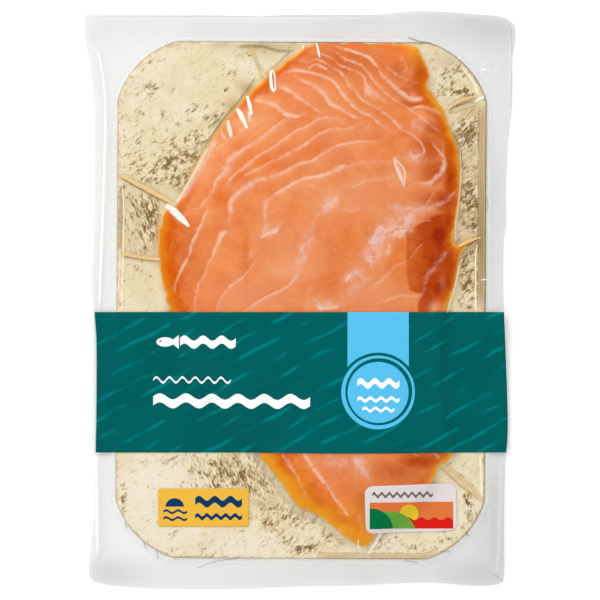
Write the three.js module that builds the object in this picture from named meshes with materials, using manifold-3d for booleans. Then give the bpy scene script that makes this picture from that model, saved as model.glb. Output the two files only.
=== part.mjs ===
// Chilled pack of smoked salmon, lying on its back.
//
// A clear vacuum pouch is welded round a foil-faced card board that carries a stack of sliced
// salmon. A printed band crosses the front film from side to side, and two small printed panels
// lie below it.
//
// Frame: millimetres, +Z up, +Y towards the top edge of the pack. The origin lies under the
// middle of the pouch, on the surface that the pack rests on.

import * as THREE from 'three';
import { mergeVertices } from 'three/addons/utils/BufferGeometryUtils.js';
import Module from 'manifold-3d';

const wasm = await Module();
wasm.setup();

// ---------------------------------------------------------------- driving dimensions

const POUCH_WIDTH = 157.6;
const POUCH_HEIGHT = 211.8;
const WELD_SHEET = 0.6;           // the two films and the ripple between them
const CORNER_CHAMFER = 5.2;       // cut at the top right corner
const CORNER_ROUNDING = 3;        // radius at the bottom left corner

const BOARD_WIDTH = 135.2;
const BOARD_HEIGHT = 189.4;
const BOARD_CENTRE = new THREE.Vector2(0.6, -0.1);
const BOARD_TURN = THREE.MathUtils.degToRad(-0.3);
const BOARD_CORNER_CUT = 21.5;    // length that each corner takes off a side
const BOARD_CORNER_RADIUS = 31.7;
const BOARD_TOP = 1;              // card with the film below and above it

const SALMON_EDGE = 2.6;          // thickness where the slices end
const SALMON_RISE = 6.4;          // how much thicker the middle of the stack is
const SALMON_SPREAD = 15;         // distance in which most of that rise happens
const TENT_WIDTH = 3;             // strip where the film spans from the salmon to the board
const EDGE_ROUND = 1.8;           // how far in from their edge the slices reach full thickness

const BAND_TOP = -4.4;
const BAND_BOTTOM = -55.9;
const PRINT_GAP = 0.3;
const PRINT_THICKNESS = 0.25;

const LEFT_PANEL = { x: -35.2, y: -76.1, width: 33.2, height: 13.9, corner: 0.8, turnDegrees: 0 };
const RIGHT_PANEL = { x: 40.8, y: -76.3, width: 33.7, height: 17.6, corner: 2.9, turnDegrees: 1.7 };

const EDGE_LIFT = 1.5;            // mean height of the welded edge above the flat underside
const EDGE_WAVE = 1.2;            // how far it waves up and down from that

// Where the spokes of the mesh meet. Every outline is seen whole from here.
const HUB = new THREE.Vector2(4, 6);
const SPOKES = 112;

// ---------------------------------------------------------------- outlines

// Each welded edge as [distance along it, how far it lies outside the nominal rectangle].
const TOP_WAVE = [[-55, -1.3], [-36, -1.45], [-16, -2], [0, -1.3], [27, -1.3], [36, -0.4],
  [42, 0], [54, -0.3], [64, -1.2]];
const RIGHT_WAVE = [[94, 0], [88, -1], [80, -0.7], [69, -1.1], [56, -2.5], [38, -3.2], [29, -3],
  [20, -4], [-2, -4], [-19, -3.3], [-41, -2.5], [-51, -2.6], [-59, -3.3], [-81, -3.8], [-97, -3.7]];
const BOTTOM_WAVE = [[72.5, -1.75], [65, -1.25], [47, -2.35], [20, -1.3], [2, -1.1], [-22, -0.15],
  [-46, -0.1], [-56, -0.4], [-64, -0.95], [-71, -1.7]];
const LEFT_WAVE = [[-96, -1.8], [-88, -2.5], [-80, -3.3], [-56, -3.7], [-42, -4], [-15, -4],
  [-3, -3.2], [7, -2.7], [20, -3.3], [60, -3.9], [78, -3], [88, -1.8], [96, -0.2]];

// How far the corners lie inside the nominal rectangle, as [across, along] where both differ.
const TOP_LEFT_DROP = 1.5;
const CHAMFER_DROP = 2.1;
const BOTTOM_RIGHT_INSET = [4.1, 2.7];
const BOTTOM_LEFT_INSET = [1.8, 2.5];

// The corners of the weld: square at the top left and bottom right, chamfered at the top right and
// rounded at the bottom left.
function pouchCorners() {
  const right = POUCH_WIDTH / 2;
  const top = POUCH_HEIGHT / 2;
  const [leftInset, leftLowerInset] = BOTTOM_LEFT_INSET;
  const [rightInset, rightLowerInset] = BOTTOM_RIGHT_INSET;
  const turn = new THREE.Vector2(leftInset - right, leftLowerInset - top).addScalar(CORNER_ROUNDING);
  const rounding = [255, 222, 189].map((degrees) => {
    const angle = THREE.MathUtils.degToRad(degrees);
    const spoke = new THREE.Vector2(Math.cos(angle), Math.sin(angle));
    return spoke.multiplyScalar(CORNER_ROUNDING).add(turn);
  });
  return {
    topLeft: [new THREE.Vector2(-right, top - TOP_LEFT_DROP)],
    topRight: [
      new THREE.Vector2(right - CORNER_CHAMFER, top - CHAMFER_DROP),
      new THREE.Vector2(right, top - CORNER_CHAMFER),
    ],
    bottomRight: [new THREE.Vector2(right - rightInset, rightLowerInset - top)],
    bottomLeft: rounding,
  };
}

// Clockwise from the top left corner.
function pouchOutline(corners) {
  const right = POUCH_WIDTH / 2;
  const top = POUCH_HEIGHT / 2;
  return [
    ...corners.topLeft,
    ...TOP_WAVE.map(([x, out]) => new THREE.Vector2(x, top + out)),
    ...corners.topRight,
    ...RIGHT_WAVE.map(([y, out]) => new THREE.Vector2(right + out, y)),
    ...corners.bottomRight,
    ...BOTTOM_WAVE.map(([x, out]) => new THREE.Vector2(x, -top - out)),
    ...corners.bottomLeft,
    ...LEFT_WAVE.map(([y, out]) => new THREE.Vector2(-right - out, y)),
  ];
}

// A rectangle whose corners are cut by flat arcs, which meet its sides at a slight angle.
function boardOutline() {
  const half = new THREE.Vector2(BOARD_WIDTH / 2, BOARD_HEIGHT / 2);
  const halfChord = BOARD_CORNER_CUT * Math.SQRT1_2;
  const inset = Math.sqrt(BOARD_CORNER_RADIUS ** 2 - halfChord ** 2);
  const halfSweep = Math.asin(halfChord / BOARD_CORNER_RADIUS);
  const points = [];
  for (const [signX, signY] of [[1, 1], [1, -1], [-1, -1], [-1, 1]]) {
    const back = BOARD_CORNER_CUT / 2 + inset * Math.SQRT1_2;
    const centre = new THREE.Vector2(signX * (half.x - back), signY * (half.y - back));
    const middle = Math.atan2(signY, signX);
    for (const share of [1, 0.5, 0, -0.5, -1]) {
      const angle = middle + share * halfSweep;
      const spoke = new THREE.Vector2(Math.cos(angle), Math.sin(angle));
      points.push(spoke.multiplyScalar(BOARD_CORNER_RADIUS).add(centre));
    }
  }
  return points.map((p) => p.rotateAround(new THREE.Vector2(), BOARD_TURN).add(BOARD_CENTRE));
}

// The outer edge of the fanned slices, clockwise from the upper end.
const SALMON_TIPS = {
  upperLeft: [6, 94.1],
  upperRight: [42.5, 93.7],
  flap: [65.3, 22],
  tail: [24.2, -90.8],
  notch: [-51.2, 26],
};
const SALMON_OUTLINE = [
  SALMON_TIPS.upperLeft, SALMON_TIPS.upperRight, [45.5, 88.6], [47.7, 82.7], [46.7, 78.6], [50.3, 74.8],
  [53.3, 70], [54.4, 64.4], [57.8, 57.7], [58.9, 48.3], [58.9, 40], [57.4, 29.5], [56.3, 23],
  SALMON_TIPS.flap, [59.3, 16.5], [56.7, 6.7], [53.4, -6], [52.2, -22], [53.6, -40], [56.2, -54.5],
  [54.1, -59.8], [51.2, -60.8], [48.5, -67.3], [38.6, -77.6], [28.4, -85.6],
  SALMON_TIPS.tail, [19.4, -88.9], [13.7, -83.7], [6.7, -78.9], [0, -75.5], [-5.7, -68.8],
  [-14.6, -56.5], [-27.3, -43.9], [-38.2, -29.3], [-44.5, -14.6], [-47.4, -4.4], [-51, 10.8],
  SALMON_TIPS.notch, [-49.1, 33.2], [-45.4, 34], [-40.9, 44.4], [-34.6, 54.5], [-28, 65],
  [-20.7, 73.1], [-13.7, 80.2], [-8.6, 84.7], [-2, 89.9],
].map(([x, y]) => new THREE.Vector2(x, y));

// How far an outline lies from the hub in one direction.
function reach(outline, direction) {
  let farthest = 0;
  outline.forEach((start, i) => {
    const from = start.clone().sub(HUB);
    const along = outline[(i + 1) % outline.length].clone().sub(start);
    const across = direction.cross(along);
    if (Math.abs(across) < 1e-9) return;
    const share = from.cross(direction) / across;
    const distance = from.cross(along) / across;
    if (share >= 0 && share <= 1) farthest = Math.max(farthest, distance);
  });
  return farthest;
}

// Signed distance of a point inside the salmon's edge.
function insideSalmon(point) {
  let nearest = Infinity;
  SALMON_OUTLINE.forEach((start, i) => {
    const along = SALMON_OUTLINE[(i + 1) % SALMON_OUTLINE.length].clone().sub(start);
    const share = THREE.MathUtils.clamp(point.clone().sub(start).dot(along) / along.lengthSq(), 0, 1);
    nearest = Math.min(nearest, along.multiplyScalar(share).add(start).distanceTo(point));
  });
  const ray = point.clone().sub(HUB);
  const inside = point.equals(HUB) || ray.length() < reach(SALMON_OUTLINE, ray.clone().normalize());
  return inside ? nearest : -nearest;
}

// ---------------------------------------------------------------- spokes and rings

const corners = pouchCorners();
const pouchEdge = pouchOutline(corners);
const boardEdge = boardOutline();

// One spoke through each corner of an outline, and evenly spread ones in the gaps between them.
function spokeDirections() {
  const step = (2 * Math.PI) / SPOKES;
  const tips = Object.values(SALMON_TIPS).map(([x, y]) => new THREE.Vector2(x, y));
  const cornerAngles = [...Object.values(corners).flat(), ...boardEdge, ...tips]
    .map((corner) => corner.clone().sub(HUB).angle())
    .sort((a, b) => a - b);
  const angles = cornerAngles.flatMap((angle, i) => {
    const next = i + 1 < cornerAngles.length ? cornerAngles[i + 1] : cornerAngles[0] + 2 * Math.PI;
    const count = Math.max(1, Math.round((next - angle) / step));
    return Array.from({ length: count }, (_, k) => angle + ((next - angle) * k) / count);
  });
  return angles.map((angle) => new THREE.Vector2(Math.cos(angle), Math.sin(angle)));
}

const RIM_DROP = 1.4;             // how far outside the board the films meet
const LEAST_SHELF = 3;            // least board left bare between the salmon and the board's edge

const spokes = spokeDirections().map((direction) => {
  const board = reach(boardEdge, direction);
  const salmon = Math.min(reach(SALMON_OUTLINE, direction), board - LEAST_SHELF);
  const foot = Math.min(salmon + TENT_WIDTH, board - LEAST_SHELF / 2);
  return { direction, pouch: reach(pouchEdge, direction), board, foot, salmon };
});

const mix = THREE.MathUtils.lerp;
const margin = (share) => (s) => mix(s.board, s.pouch, share);
const fillet = (share) => (s) => mix(s.foot, s.salmon, share);
const stack = (share) => (s) => s.salmon * share;

const MARGIN_RINGS = [margin(1), margin(0.7), margin(0.42), (s) => s.board + RIM_DROP];
const TOP_RINGS = [
  ...MARGIN_RINGS,
  (s) => s.board,
  (s) => mix(s.board, s.foot, 0.5),
  fillet(0),
  fillet(0.5),
  fillet(1),
  ...[0.95, 0.87, 0.76, 0.63, 0.49, 0.34, 0.18].map(stack),
];

// Height of the welded films' lower face beyond the board: they leave the board near its underside
// and curl up and down towards the weld's outer edge.
function weldHeight(s, radius) {
  const share = (radius - s.board) / (s.pouch - s.board);
  const turn = s.direction.angle();
  const wave = 0.6 * Math.sin(3 * turn + 0.8) + 0.4 * Math.sin(7 * turn + 2.1);
  return 0.15 + share ** 1.6 * (EDGE_LIFT + EDGE_WAVE * wave);
}

// Gentle swells in the stack, where slices lie over each other.
function swell({ x, y }) {
  return 0.45 * Math.sin(x / 15 + 1.1) * Math.cos(y / 21) + 0.3 * Math.sin((x + y) / 11);
}

// Height of the outer film over the board and the salmon.
function frontHeight(s, radius, point) {
  if (radius > s.board) return weldHeight(s, radius) + WELD_SHEET;
  if (radius >= s.foot) return BOARD_TOP;
  const outside = (TENT_WIDTH * (radius - s.salmon)) / (s.foot - s.salmon);
  const depth = radius > s.salmon ? -outside : Math.max(insideSalmon(point), 0);
  const climb = THREE.MathUtils.smoothstep(depth, -TENT_WIDTH, EDGE_ROUND);
  const rise = 1 - Math.exp(-Math.max(depth, 0) / SALMON_SPREAD);
  return BOARD_TOP + SALMON_EDGE * climb + (SALMON_RISE + swell(point)) * rise;
}

// One closed ring of points, one on each spoke.
function ringOf(station, height) {
  return spokes.map((s) => {
    const radius = station(s);
    const point = s.direction.clone().multiplyScalar(radius).add(HUB);
    return new THREE.Vector3(point.x, point.y, height(s, radius, point));
  });
}

// The front surface, raised by a clearance, as rings from the outside in and a last centre point.
function frontSurface(clearance) {
  const rings = TOP_RINGS.map((station) =>
    ringOf(station, (s, radius, point) => frontHeight(s, radius, point) + clearance));
  const crown = frontHeight(spokes[0], 0, HUB) + clearance;
  return { rings, centre: new THREE.Vector3(HUB.x, HUB.y, crown) };
}

// The underside: the lower faces of the weld, then one flat face under the board.
function underside() {
  const rings = MARGIN_RINGS.map((station) => ringOf(station, weldHeight));
  rings.push(ringOf((s) => s.board, () => 0));
  return { rings, centre: new THREE.Vector3(HUB.x, HUB.y, 0) };
}

// A closed body between two surfaces of rings whose outermost rings lie over each other.
function bodyBetween(upper, lower) {
  const positions = [];
  const triangle = (a, b, c) => positions.push(...a.toArray(), ...b.toArray(), ...c.toArray());
  const strip = (outer, inner) => outer.forEach((corner, i) => {
    const next = (i + 1) % outer.length;
    triangle(corner, outer[next], inner[next]);
    triangle(corner, inner[next], inner[i]);
  });
  const fan = (ring, centre) => ring.forEach((corner, i) => {
    triangle(corner, ring[(i + 1) % ring.length], centre);
  });
  for (let i = 1; i < upper.rings.length; i += 1) strip(upper.rings[i - 1], upper.rings[i]);
  fan(upper.rings.at(-1), upper.centre);
  strip(lower.rings[0], upper.rings[0]);
  for (let i = 1; i < lower.rings.length; i += 1) strip(lower.rings[i], lower.rings[i - 1]);
  fan(lower.rings.at(-1).toReversed(), lower.centre);
  const geometry = new THREE.BufferGeometry();
  geometry.setAttribute('position', new THREE.Float32BufferAttribute(positions, 3));
  return mergeVertices(geometry, 1e-4);
}

// ---------------------------------------------------------------- joins and cuts

function solidOf(geometry) {
  const bare = geometry.clone();
  bare.deleteAttribute('normal');
  bare.deleteAttribute('uv');
  const merged = mergeVertices(bare, 1e-4);
  return new wasm.Manifold(new wasm.Mesh({
    numProp: 3,
    vertProperties: new Float32Array(merged.attributes.position.array),
    triVerts: new Uint32Array(merged.index.array),
  }));
}

function geometryOf(solid) {
  const { vertProperties, triVerts } = solid.getMesh();
  const geometry = new THREE.BufferGeometry();
  geometry.setAttribute('position', new THREE.BufferAttribute(vertProperties, 3));
  geometry.setIndex(new THREE.BufferAttribute(triVerts, 1));
  return geometry;
}

// A printed skin that follows the front film wherever it lies inside the cutter.
const skin = solidOf(bodyBetween(
  frontSurface(PRINT_GAP + PRINT_THICKNESS),
  frontSurface(PRINT_GAP),
));

function printedSkin(cutter) {
  return geometryOf(skin.intersect(solidOf(cutter)));
}

const CUTTER_DEPTH = 30;

function bandCutter() {
  const box = new THREE.BoxGeometry(POUCH_WIDTH + 10, BAND_TOP - BAND_BOTTOM, CUTTER_DEPTH);
  return box.translate(0, (BAND_TOP + BAND_BOTTOM) / 2, 0);
}

function panelCutter({ x, y, width, height, corner, turnDegrees }) {
  const shape = new THREE.Shape();
  const right = width / 2 - corner;
  const top = height / 2 - corner;
  shape.absarc(right, top, corner, 0, Math.PI / 2);
  shape.absarc(-right, top, corner, Math.PI / 2, Math.PI);
  shape.absarc(-right, -top, corner, Math.PI, Math.PI * 1.5);
  shape.absarc(right, -top, corner, Math.PI * 1.5, Math.PI * 2);
  const prism = new THREE.ExtrudeGeometry(shape, {
    depth: CUTTER_DEPTH,
    bevelEnabled: false,
    curveSegments: 3,
  });
  return prism.rotateZ(THREE.MathUtils.degToRad(turnDegrees)).translate(x, y, -CUTTER_DEPTH / 2);
}

// ---------------------------------------------------------------- the pack

const FINISHES = {
  pouch: { color: 0xe8935a, roughness: 0.25, metalness: 0 },
  band: { color: 0x006662, roughness: 0.45, metalness: 0 },
  label_left: { color: 0xf0b93d, roughness: 0.45, metalness: 0 },
  label_right: { color: 0xe6dcdc, roughness: 0.45, metalness: 0 },
};

function part(name, geometry) {
  const mesh = new THREE.Mesh(geometry, new THREE.MeshStandardMaterial(FINISHES[name]));
  mesh.name = name;
  return mesh;
}

const pack = new THREE.Group();
pack.add(part('pouch', bodyBetween(frontSurface(0), underside())));
pack.add(part('band', printedSkin(bandCutter())));
pack.add(part('label_left', printedSkin(panelCutter(LEFT_PANEL))));
pack.add(part('label_right', printedSkin(panelCutter(RIGHT_PANEL))));

export default pack;
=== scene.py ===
"""Looks of a chilled vacuum pack of sliced smoked salmon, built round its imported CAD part.

Lengths are millimetres until a mesh is made. Places read off the photograph stay in its 600 by 600
pixels until place() turns them into millimetres.
"""

import math

import bpy
import numpy as np
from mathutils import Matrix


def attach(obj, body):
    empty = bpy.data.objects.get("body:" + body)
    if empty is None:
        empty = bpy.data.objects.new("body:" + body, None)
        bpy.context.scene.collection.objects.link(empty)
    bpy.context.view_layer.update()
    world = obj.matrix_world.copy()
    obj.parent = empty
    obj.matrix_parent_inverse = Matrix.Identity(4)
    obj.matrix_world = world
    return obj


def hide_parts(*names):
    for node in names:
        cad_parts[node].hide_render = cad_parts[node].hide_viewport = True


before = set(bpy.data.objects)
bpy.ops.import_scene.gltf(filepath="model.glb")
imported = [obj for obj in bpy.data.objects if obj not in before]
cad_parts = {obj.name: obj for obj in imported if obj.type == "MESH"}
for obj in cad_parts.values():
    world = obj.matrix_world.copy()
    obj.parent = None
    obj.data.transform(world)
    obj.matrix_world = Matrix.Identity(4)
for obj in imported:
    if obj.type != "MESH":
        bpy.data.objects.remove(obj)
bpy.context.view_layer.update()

# ------------------------------------------------------------------ sizes shared with the CAD part

MM = 0.001
PIXEL = 0.366                     # real size of one photo pixel
PHOTO_SIDE = 600
PHOTO_MIDDLE = (299.5, 300.0)     # the pixel that shows the origin

POUCH_WIDTH = 157.6
POUCH_HEIGHT = 211.8
WELD_SHEET = 0.6
CORNER_CHAMFER = 5.2
CORNER_ROUNDING = 3.0
TOP_LEFT_DROP = 1.5
CHAMFER_DROP = 2.1
BOTTOM_RIGHT_INSET = (4.1, 2.7)
BOTTOM_LEFT_INSET = (1.8, 2.5)

BOARD_WIDTH = 135.2
BOARD_HEIGHT = 189.4
BOARD_CENTRE = (0.6, -0.1)
BOARD_TURN = math.radians(-0.3)
BOARD_CORNER_CUT = 21.5
BOARD_CORNER_RADIUS = 31.7
FRONT_OVER_BOARD = 1.0            # height of the outer film where it lies on the board

SALMON_EDGE = 2.6
SALMON_RISE = 6.4
SALMON_SPREAD = 15.0
SALMON_TOP = 94.35                # the slices end along the board's upper edge
TENT_WIDTH = 3.0
EDGE_ROUND = 1.8                  # how far in the film reaches the slices' full thickness

BAND_TOP = -4.4
BAND_BOTTOM = -55.9
BAND_INSET = 0.4                  # how far the print's left end stays inside the weld
LEFT_PANEL = (-35.2, -76.1, 33.2, 13.9, 0.8, 0.0)     # x, y, width, height, corner, turn
RIGHT_PANEL = (40.8, -76.3, 33.7, 17.6, 2.9, 1.7)

WELD_UNDERSIDE = 0.15             # where the welded sheet leaves the board
EDGE_LIFT = 1.5
EDGE_WAVE = 1.2
HUB = np.array([4.0, 6.0])

# Each welded edge as (distance along it, how far it lies outside the nominal rectangle).
TOP_WAVE = [(-55, -1.3), (-36, -1.45), (-16, -2), (0, -1.3), (27, -1.3), (36, -0.4), (42, 0), (54, -0.3),
            (64, -1.2)]
RIGHT_WAVE = [(94, 0), (88, -1), (80, -0.7), (69, -1.1), (56, -2.5), (38, -3.2), (29, -3), (20, -4),
              (-2, -4), (-19, -3.3), (-41, -2.5), (-51, -2.6), (-59, -3.3), (-81, -3.8), (-97, -3.7)]
BOTTOM_WAVE = [(72.5, -1.75), (65, -1.25), (47, -2.35), (20, -1.3), (2, -1.1), (-22, -0.15), (-46, -0.1),
               (-56, -0.4), (-64, -0.95), (-71, -1.7)]
LEFT_WAVE = [(-96, -1.8), (-88, -2.5), (-80, -3.3), (-56, -3.7), (-42, -4), (-15, -4), (-3, -3.2),
             (7, -2.7), (20, -3.3), (60, -3.9), (78, -3), (88, -1.8), (96, -0.2)]

SALMON_OUTLINE = [
    (6, 94.1), (24, 94), (42.5, 93.7), (45.5, 88.6), (47.7, 82.7), (46.7, 78.6), (50.3, 74.8), (53.3, 70),
    (54.4, 64.4), (57.8, 57.7), (58.9, 48.3), (58.9, 40), (57.4, 29.5), (56.3, 25.5), (56.3, 21.5),
    (58.4, 20.1), (61.6, 22.4), (65.3, 22), (61.9, 19.7), (59.3, 16.5), (56.7, 6.7), (53.4, -6),
    (52.2, -22), (53.6, -40), (56.2, -54.5), (54.1, -59.8), (51.2, -60.8), (48.5, -67.3), (38.6, -77.6),
    (28.4, -85.6), (24.2, -90.8), (19.4, -88.9), (13.7, -83.7), (6.7, -78.9), (0, -75.5), (-5.7, -68.8),
    (-14.6, -56.5), (-27.3, -43.9), (-38.2, -29.3), (-44.5, -14.6), (-47.4, -4.4), (-51, 10.8),
    (-51.7, 21.2), (-51.2, 26), (-49.1, 33.2), (-45.4, 34), (-40.9, 44.4), (-34.6, 54.5), (-28, 65),
    (-20.7, 73.1), (-13.7, 80.2), (-8.6, 84.7), (-2, 89.9)]

# ------------------------------------------------------------------ lines and measures


def place(pixels):
    """Photo pixels as millimetres in the part's frame."""
    return (np.asarray(pixels, float) - PHOTO_MIDDLE) * (PIXEL, -PIXEL)


def turned(points, angle):
    """Points turned about the origin."""
    c, s = math.cos(angle), math.sin(angle)
    return np.asarray(points) @ np.array([[c, s], [-s, c]])


def spline(points, closed=False, step=0.8):
    """A smooth line through the points, as points about a step apart."""
    p = np.asarray(points, float)
    if closed:
        p = np.vstack([p[-1:], p, p[:2]])
    else:
        p = np.vstack([2 * p[0] - p[1], p, 2 * p[-1] - p[-2]])
    gaps = np.linalg.norm(np.diff(p, axis=0), axis=1)
    line = []
    for i in range(1, len(p) - 2):
        span = gaps[i]
        leave = (p[i + 1] - p[i - 1]) * span / (gaps[i - 1] + span)
        arrive = (p[i + 2] - p[i]) * span / (gaps[i + 1] + span)
        t = np.arange(0, 1, min(step / span, 1))[:, None]
        line.append((2 * t**3 - 3 * t**2 + 1) * p[i] + (t**3 - 2 * t**2 + t) * leave
                    + (3 * t**2 - 2 * t**3) * p[i + 1] + (t**3 - t**2) * arrive)
    if not closed:
        line.append(p[-2:-1])
    return np.vstack(line)


def resample(line, count):
    """count points evenly spread along a line."""
    length = np.concatenate([[0], np.cumsum(np.linalg.norm(np.diff(line, axis=0), axis=1))])
    at = np.linspace(0, length[-1], count)
    return np.column_stack([np.interp(at, length, line[:, k]) for k in range(2)])


def nearest(xy, line, closed=True):
    """For each point its distance to a line, the share of the line at which it is nearest, and
    whether it lies inside the line, or left of it if the line is open."""
    starts = line if closed else line[:-1]
    ends = np.roll(line, -1, axis=0) if closed else line[1:]
    lengths = np.linalg.norm(ends - starts, axis=1)
    before = np.concatenate([[0], np.cumsum(lengths)])
    x, y = xy.T
    best, share = np.full(len(xy), np.inf), np.zeros(len(xy))
    inside = np.zeros(len(xy), bool)
    for (ax, ay), (bx, by), length, start in zip(starts, ends, lengths, before):
        dx, dy = bx - ax, by - ay
        t = np.clip(((x - ax) * dx + (y - ay) * dy) / max(length, 1e-9) ** 2, 0, 1)
        gap = (x - ax - t * dx) ** 2 + (y - ay - t * dy) ** 2
        closer = gap < best
        best[closer] = gap[closer]
        share[closer] = (start + t[closer] * length) / before[-1]
        if not closed:
            inside[closer] = (dx * (y - ay) > dy * (x - ax))[closer]
        elif ay != by:
            inside ^= ((ay > y) != (by > y)) & (x < dx * (y - ay) / dy + ax)
    return np.sqrt(best), share, inside


def depth_in(xy, outline):
    """Distance of each point inside an outline, negative outside it."""
    gap, _, inside = nearest(xy, outline)
    return np.where(inside, gap, -gap)


def smooth(low, high, value):
    """0 at low and beyond, 1 at high and beyond, smooth between."""
    t = np.clip((value - low) / (high - low), 0, 1)
    return t * t * (3 - 2 * t)


LATTICE = (61, 67)                # cells after which noise repeats
FAR_CELLS = 500                   # keeps the cell numbers positive


def noise(xy, size, seed):
    """Smooth noise from -1 to 1 with swells of one size."""
    lattice = np.random.default_rng(seed).uniform(-1, 1, LATTICE)
    u, v = xy.T / size + FAR_CELLS
    i, j = np.floor(u).astype(int), np.floor(v).astype(int)
    fu, fv = smooth(0, 1, u - i), smooth(0, 1, v - j)

    def corner(a, b):
        return lattice[(i + a) % LATTICE[0], (j + b) % LATTICE[1]]

    low = corner(0, 0) * (1 - fu) + corner(1, 0) * fu
    high = corner(0, 1) * (1 - fu) + corner(1, 1) * fu
    return low * (1 - fv) + high * fv


def blobs(xy, spots, power=2):
    """The strongest of several soft oval spots, each (x, y, half width, half height, strength) in
    photo pixels. A higher power gives them flatter tops."""
    value = np.zeros(len(xy))
    for x, y, width, height, strength in spots:
        gap = np.hypot(*((xy - place((x, y))) / (width, height)).T) / PIXEL
        value = np.maximum(value, strength * np.exp(-(gap**power)))
    return value


def stroke(xy, pixels, taper=0.12):
    """A soft stroke along a line of (x, y, width) in photo pixels that fades at its ends, and the
    signed distance from it in millimetres, positive on its left."""
    pixels = np.asarray(pixels, float)
    places, widths = place(pixels[:, :2]), pixels[:, 2] * PIXEL
    line = spline(places) if len(places) > 2 else places
    gaps = np.concatenate([[0], np.cumsum(np.linalg.norm(np.diff(places, axis=0), axis=1))])
    value, aside = np.zeros(len(xy)), np.full(len(xy), 99.0)
    margin = 2 * widths.max() + 3
    near = np.all((xy > line.min(0) - margin) & (xy < line.max(0) + margin), axis=1)
    gap, share, left = nearest(xy[near], line, closed=False)
    width = np.interp(share, gaps / gaps[-1], widths)
    fade = smooth(0, taper, share) * smooth(0, taper, 1 - share)
    value[near] = np.exp(-((gap / (0.5 * width)) ** 2)) * (0.2 + 0.8 * fade)
    aside[near] = np.where(left, gap, -gap)
    return value, aside


def strongest(xy, strokes, taper=0.12):
    """The strongest at each point of several strokes, each (strength, line)."""
    return np.max([strength * stroke(xy, line, taper)[0] for strength, line in strokes], axis=0)


# ------------------------------------------------------------------ outlines


def pouch_edges():
    """The weld's four edges, each from left to right or from bottom to top."""
    right, top = POUCH_WIDTH / 2, POUCH_HEIGHT / 2
    top_left = (-right, top - TOP_LEFT_DROP)
    chamfer = [(right - CORNER_CHAMFER, top - CHAMFER_DROP), (right, top - CORNER_CHAMFER)]
    chamfer_middle = tuple(np.mean(chamfer, axis=0))
    bottom_right = (right - BOTTOM_RIGHT_INSET[0], BOTTOM_RIGHT_INSET[1] - top)
    turn = [inset + CORNER_ROUNDING - side for inset, side in zip(BOTTOM_LEFT_INSET, (right, top))]
    rounding = [(turn[0] + CORNER_ROUNDING * math.cos(a), turn[1] + CORNER_ROUNDING * math.sin(a))
                for a in map(math.radians, (255, 238, 222, 205, 189))]
    upper = [top_left, *[(x, top + out) for x, out in TOP_WAVE], chamfer[0], chamfer_middle]
    down = [chamfer_middle, chamfer[1], *[(right + out, y) for y, out in RIGHT_WAVE], bottom_right]
    lower = [bottom_right, *[(x, -top - out) for x, out in BOTTOM_WAVE], *rounding[:3]]
    up = [*rounding[2:], *[(-right - out, y) for y, out in LEFT_WAVE], top_left]
    return {"top": spline(upper), "right": spline(down)[::-1], "bottom": spline(lower)[::-1],
            "left": spline(up)}


def board_outline():
    """A rectangle whose corners are cut by flat arcs, which meet its sides at a slight angle."""
    half_chord = BOARD_CORNER_CUT * math.sqrt(0.5)
    inset = math.sqrt(BOARD_CORNER_RADIUS**2 - half_chord**2)
    half_sweep = math.asin(half_chord / BOARD_CORNER_RADIUS)
    back = BOARD_CORNER_CUT / 2 + inset * math.sqrt(0.5)
    points = []
    for sign_x, sign_y in ((1, 1), (1, -1), (-1, -1), (-1, 1)):
        for angle in math.atan2(sign_y, sign_x) + np.linspace(half_sweep, -half_sweep, 15):
            points.append((sign_x * (BOARD_WIDTH / 2 - back) + BOARD_CORNER_RADIUS * math.cos(angle),
                           sign_y * (BOARD_HEIGHT / 2 - back) + BOARD_CORNER_RADIUS * math.sin(angle)))
    return turned(points, BOARD_TURN) + BOARD_CENTRE


def from_hub(xy):
    """Direction and distance of points from the hub."""
    x, y = (xy - HUB).T
    return np.arctan2(y, x), np.hypot(x, y)


def reach(outline, xy):
    """How far an outline lies from the hub, in the direction of each point."""
    angles, radii = from_hub(outline)
    order = np.argsort(angles)
    return np.interp(from_hub(xy)[0], angles[order], radii[order], period=2 * math.pi)


def dense(outline, step=0.8):
    """An outline of straight sides with points a step apart."""
    closed = np.vstack([outline, outline[:1]])
    count = int(np.linalg.norm(np.diff(closed, axis=0), axis=1).sum() / step)
    return resample(closed, count)[:-1]


# Where the slices' edge lies further out than the plain outline, and where further in, in the form
# of blobs() with the shift in millimetres.
BULGES = [(455, 222, 14, 20, 0.6), (452, 290, 14, 24, 0.7)]
DENTS = [(436, 101, 14, 9, 1.1), (418, 48, 10, 8, 0.8)]

EDGES = pouch_edges()
POUCH = np.vstack([EDGES["top"][:-1], EDGES["right"][::-1][:-1], EDGES["bottom"][::-1][:-1],
                   EDGES["left"][:-1]])
BOARD = dense(board_outline())


def salmon_outline():
    """The slices' edge, ragged and more so at the lower end, cut off straight along the top."""
    line = spline(SALMON_OUTLINE, closed=True, step=0.55)
    ragged = noise(line, 2.2, 11) * 0.3 + noise(line, 6, 12) * 0.3 + noise(line, 1.1, 13) * 0.25
    ragged = ragged * (1 + 0.7 * smooth(-45, -60, line[:, 1]))
    ragged = ragged + blobs(line, BULGES) - blobs(line, DENTS)
    outward = line - HUB
    line = line + outward / np.linalg.norm(outward, axis=1)[:, None] * ragged[:, None]
    line[:, 1] = np.minimum(line[:, 1], SALMON_TOP + math.tan(BOARD_TURN) * line[:, 0])
    return line


SALMON = salmon_outline()

# ------------------------------------------------------------------ heights


def weld_share(xy):
    """0 at the board's edge and 1 at the pouch's edge."""
    board, pouch = reach(BOARD, xy), reach(POUCH, xy)
    return np.clip((from_hub(xy)[1] - board) / (pouch - board), 0, 1)


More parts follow.
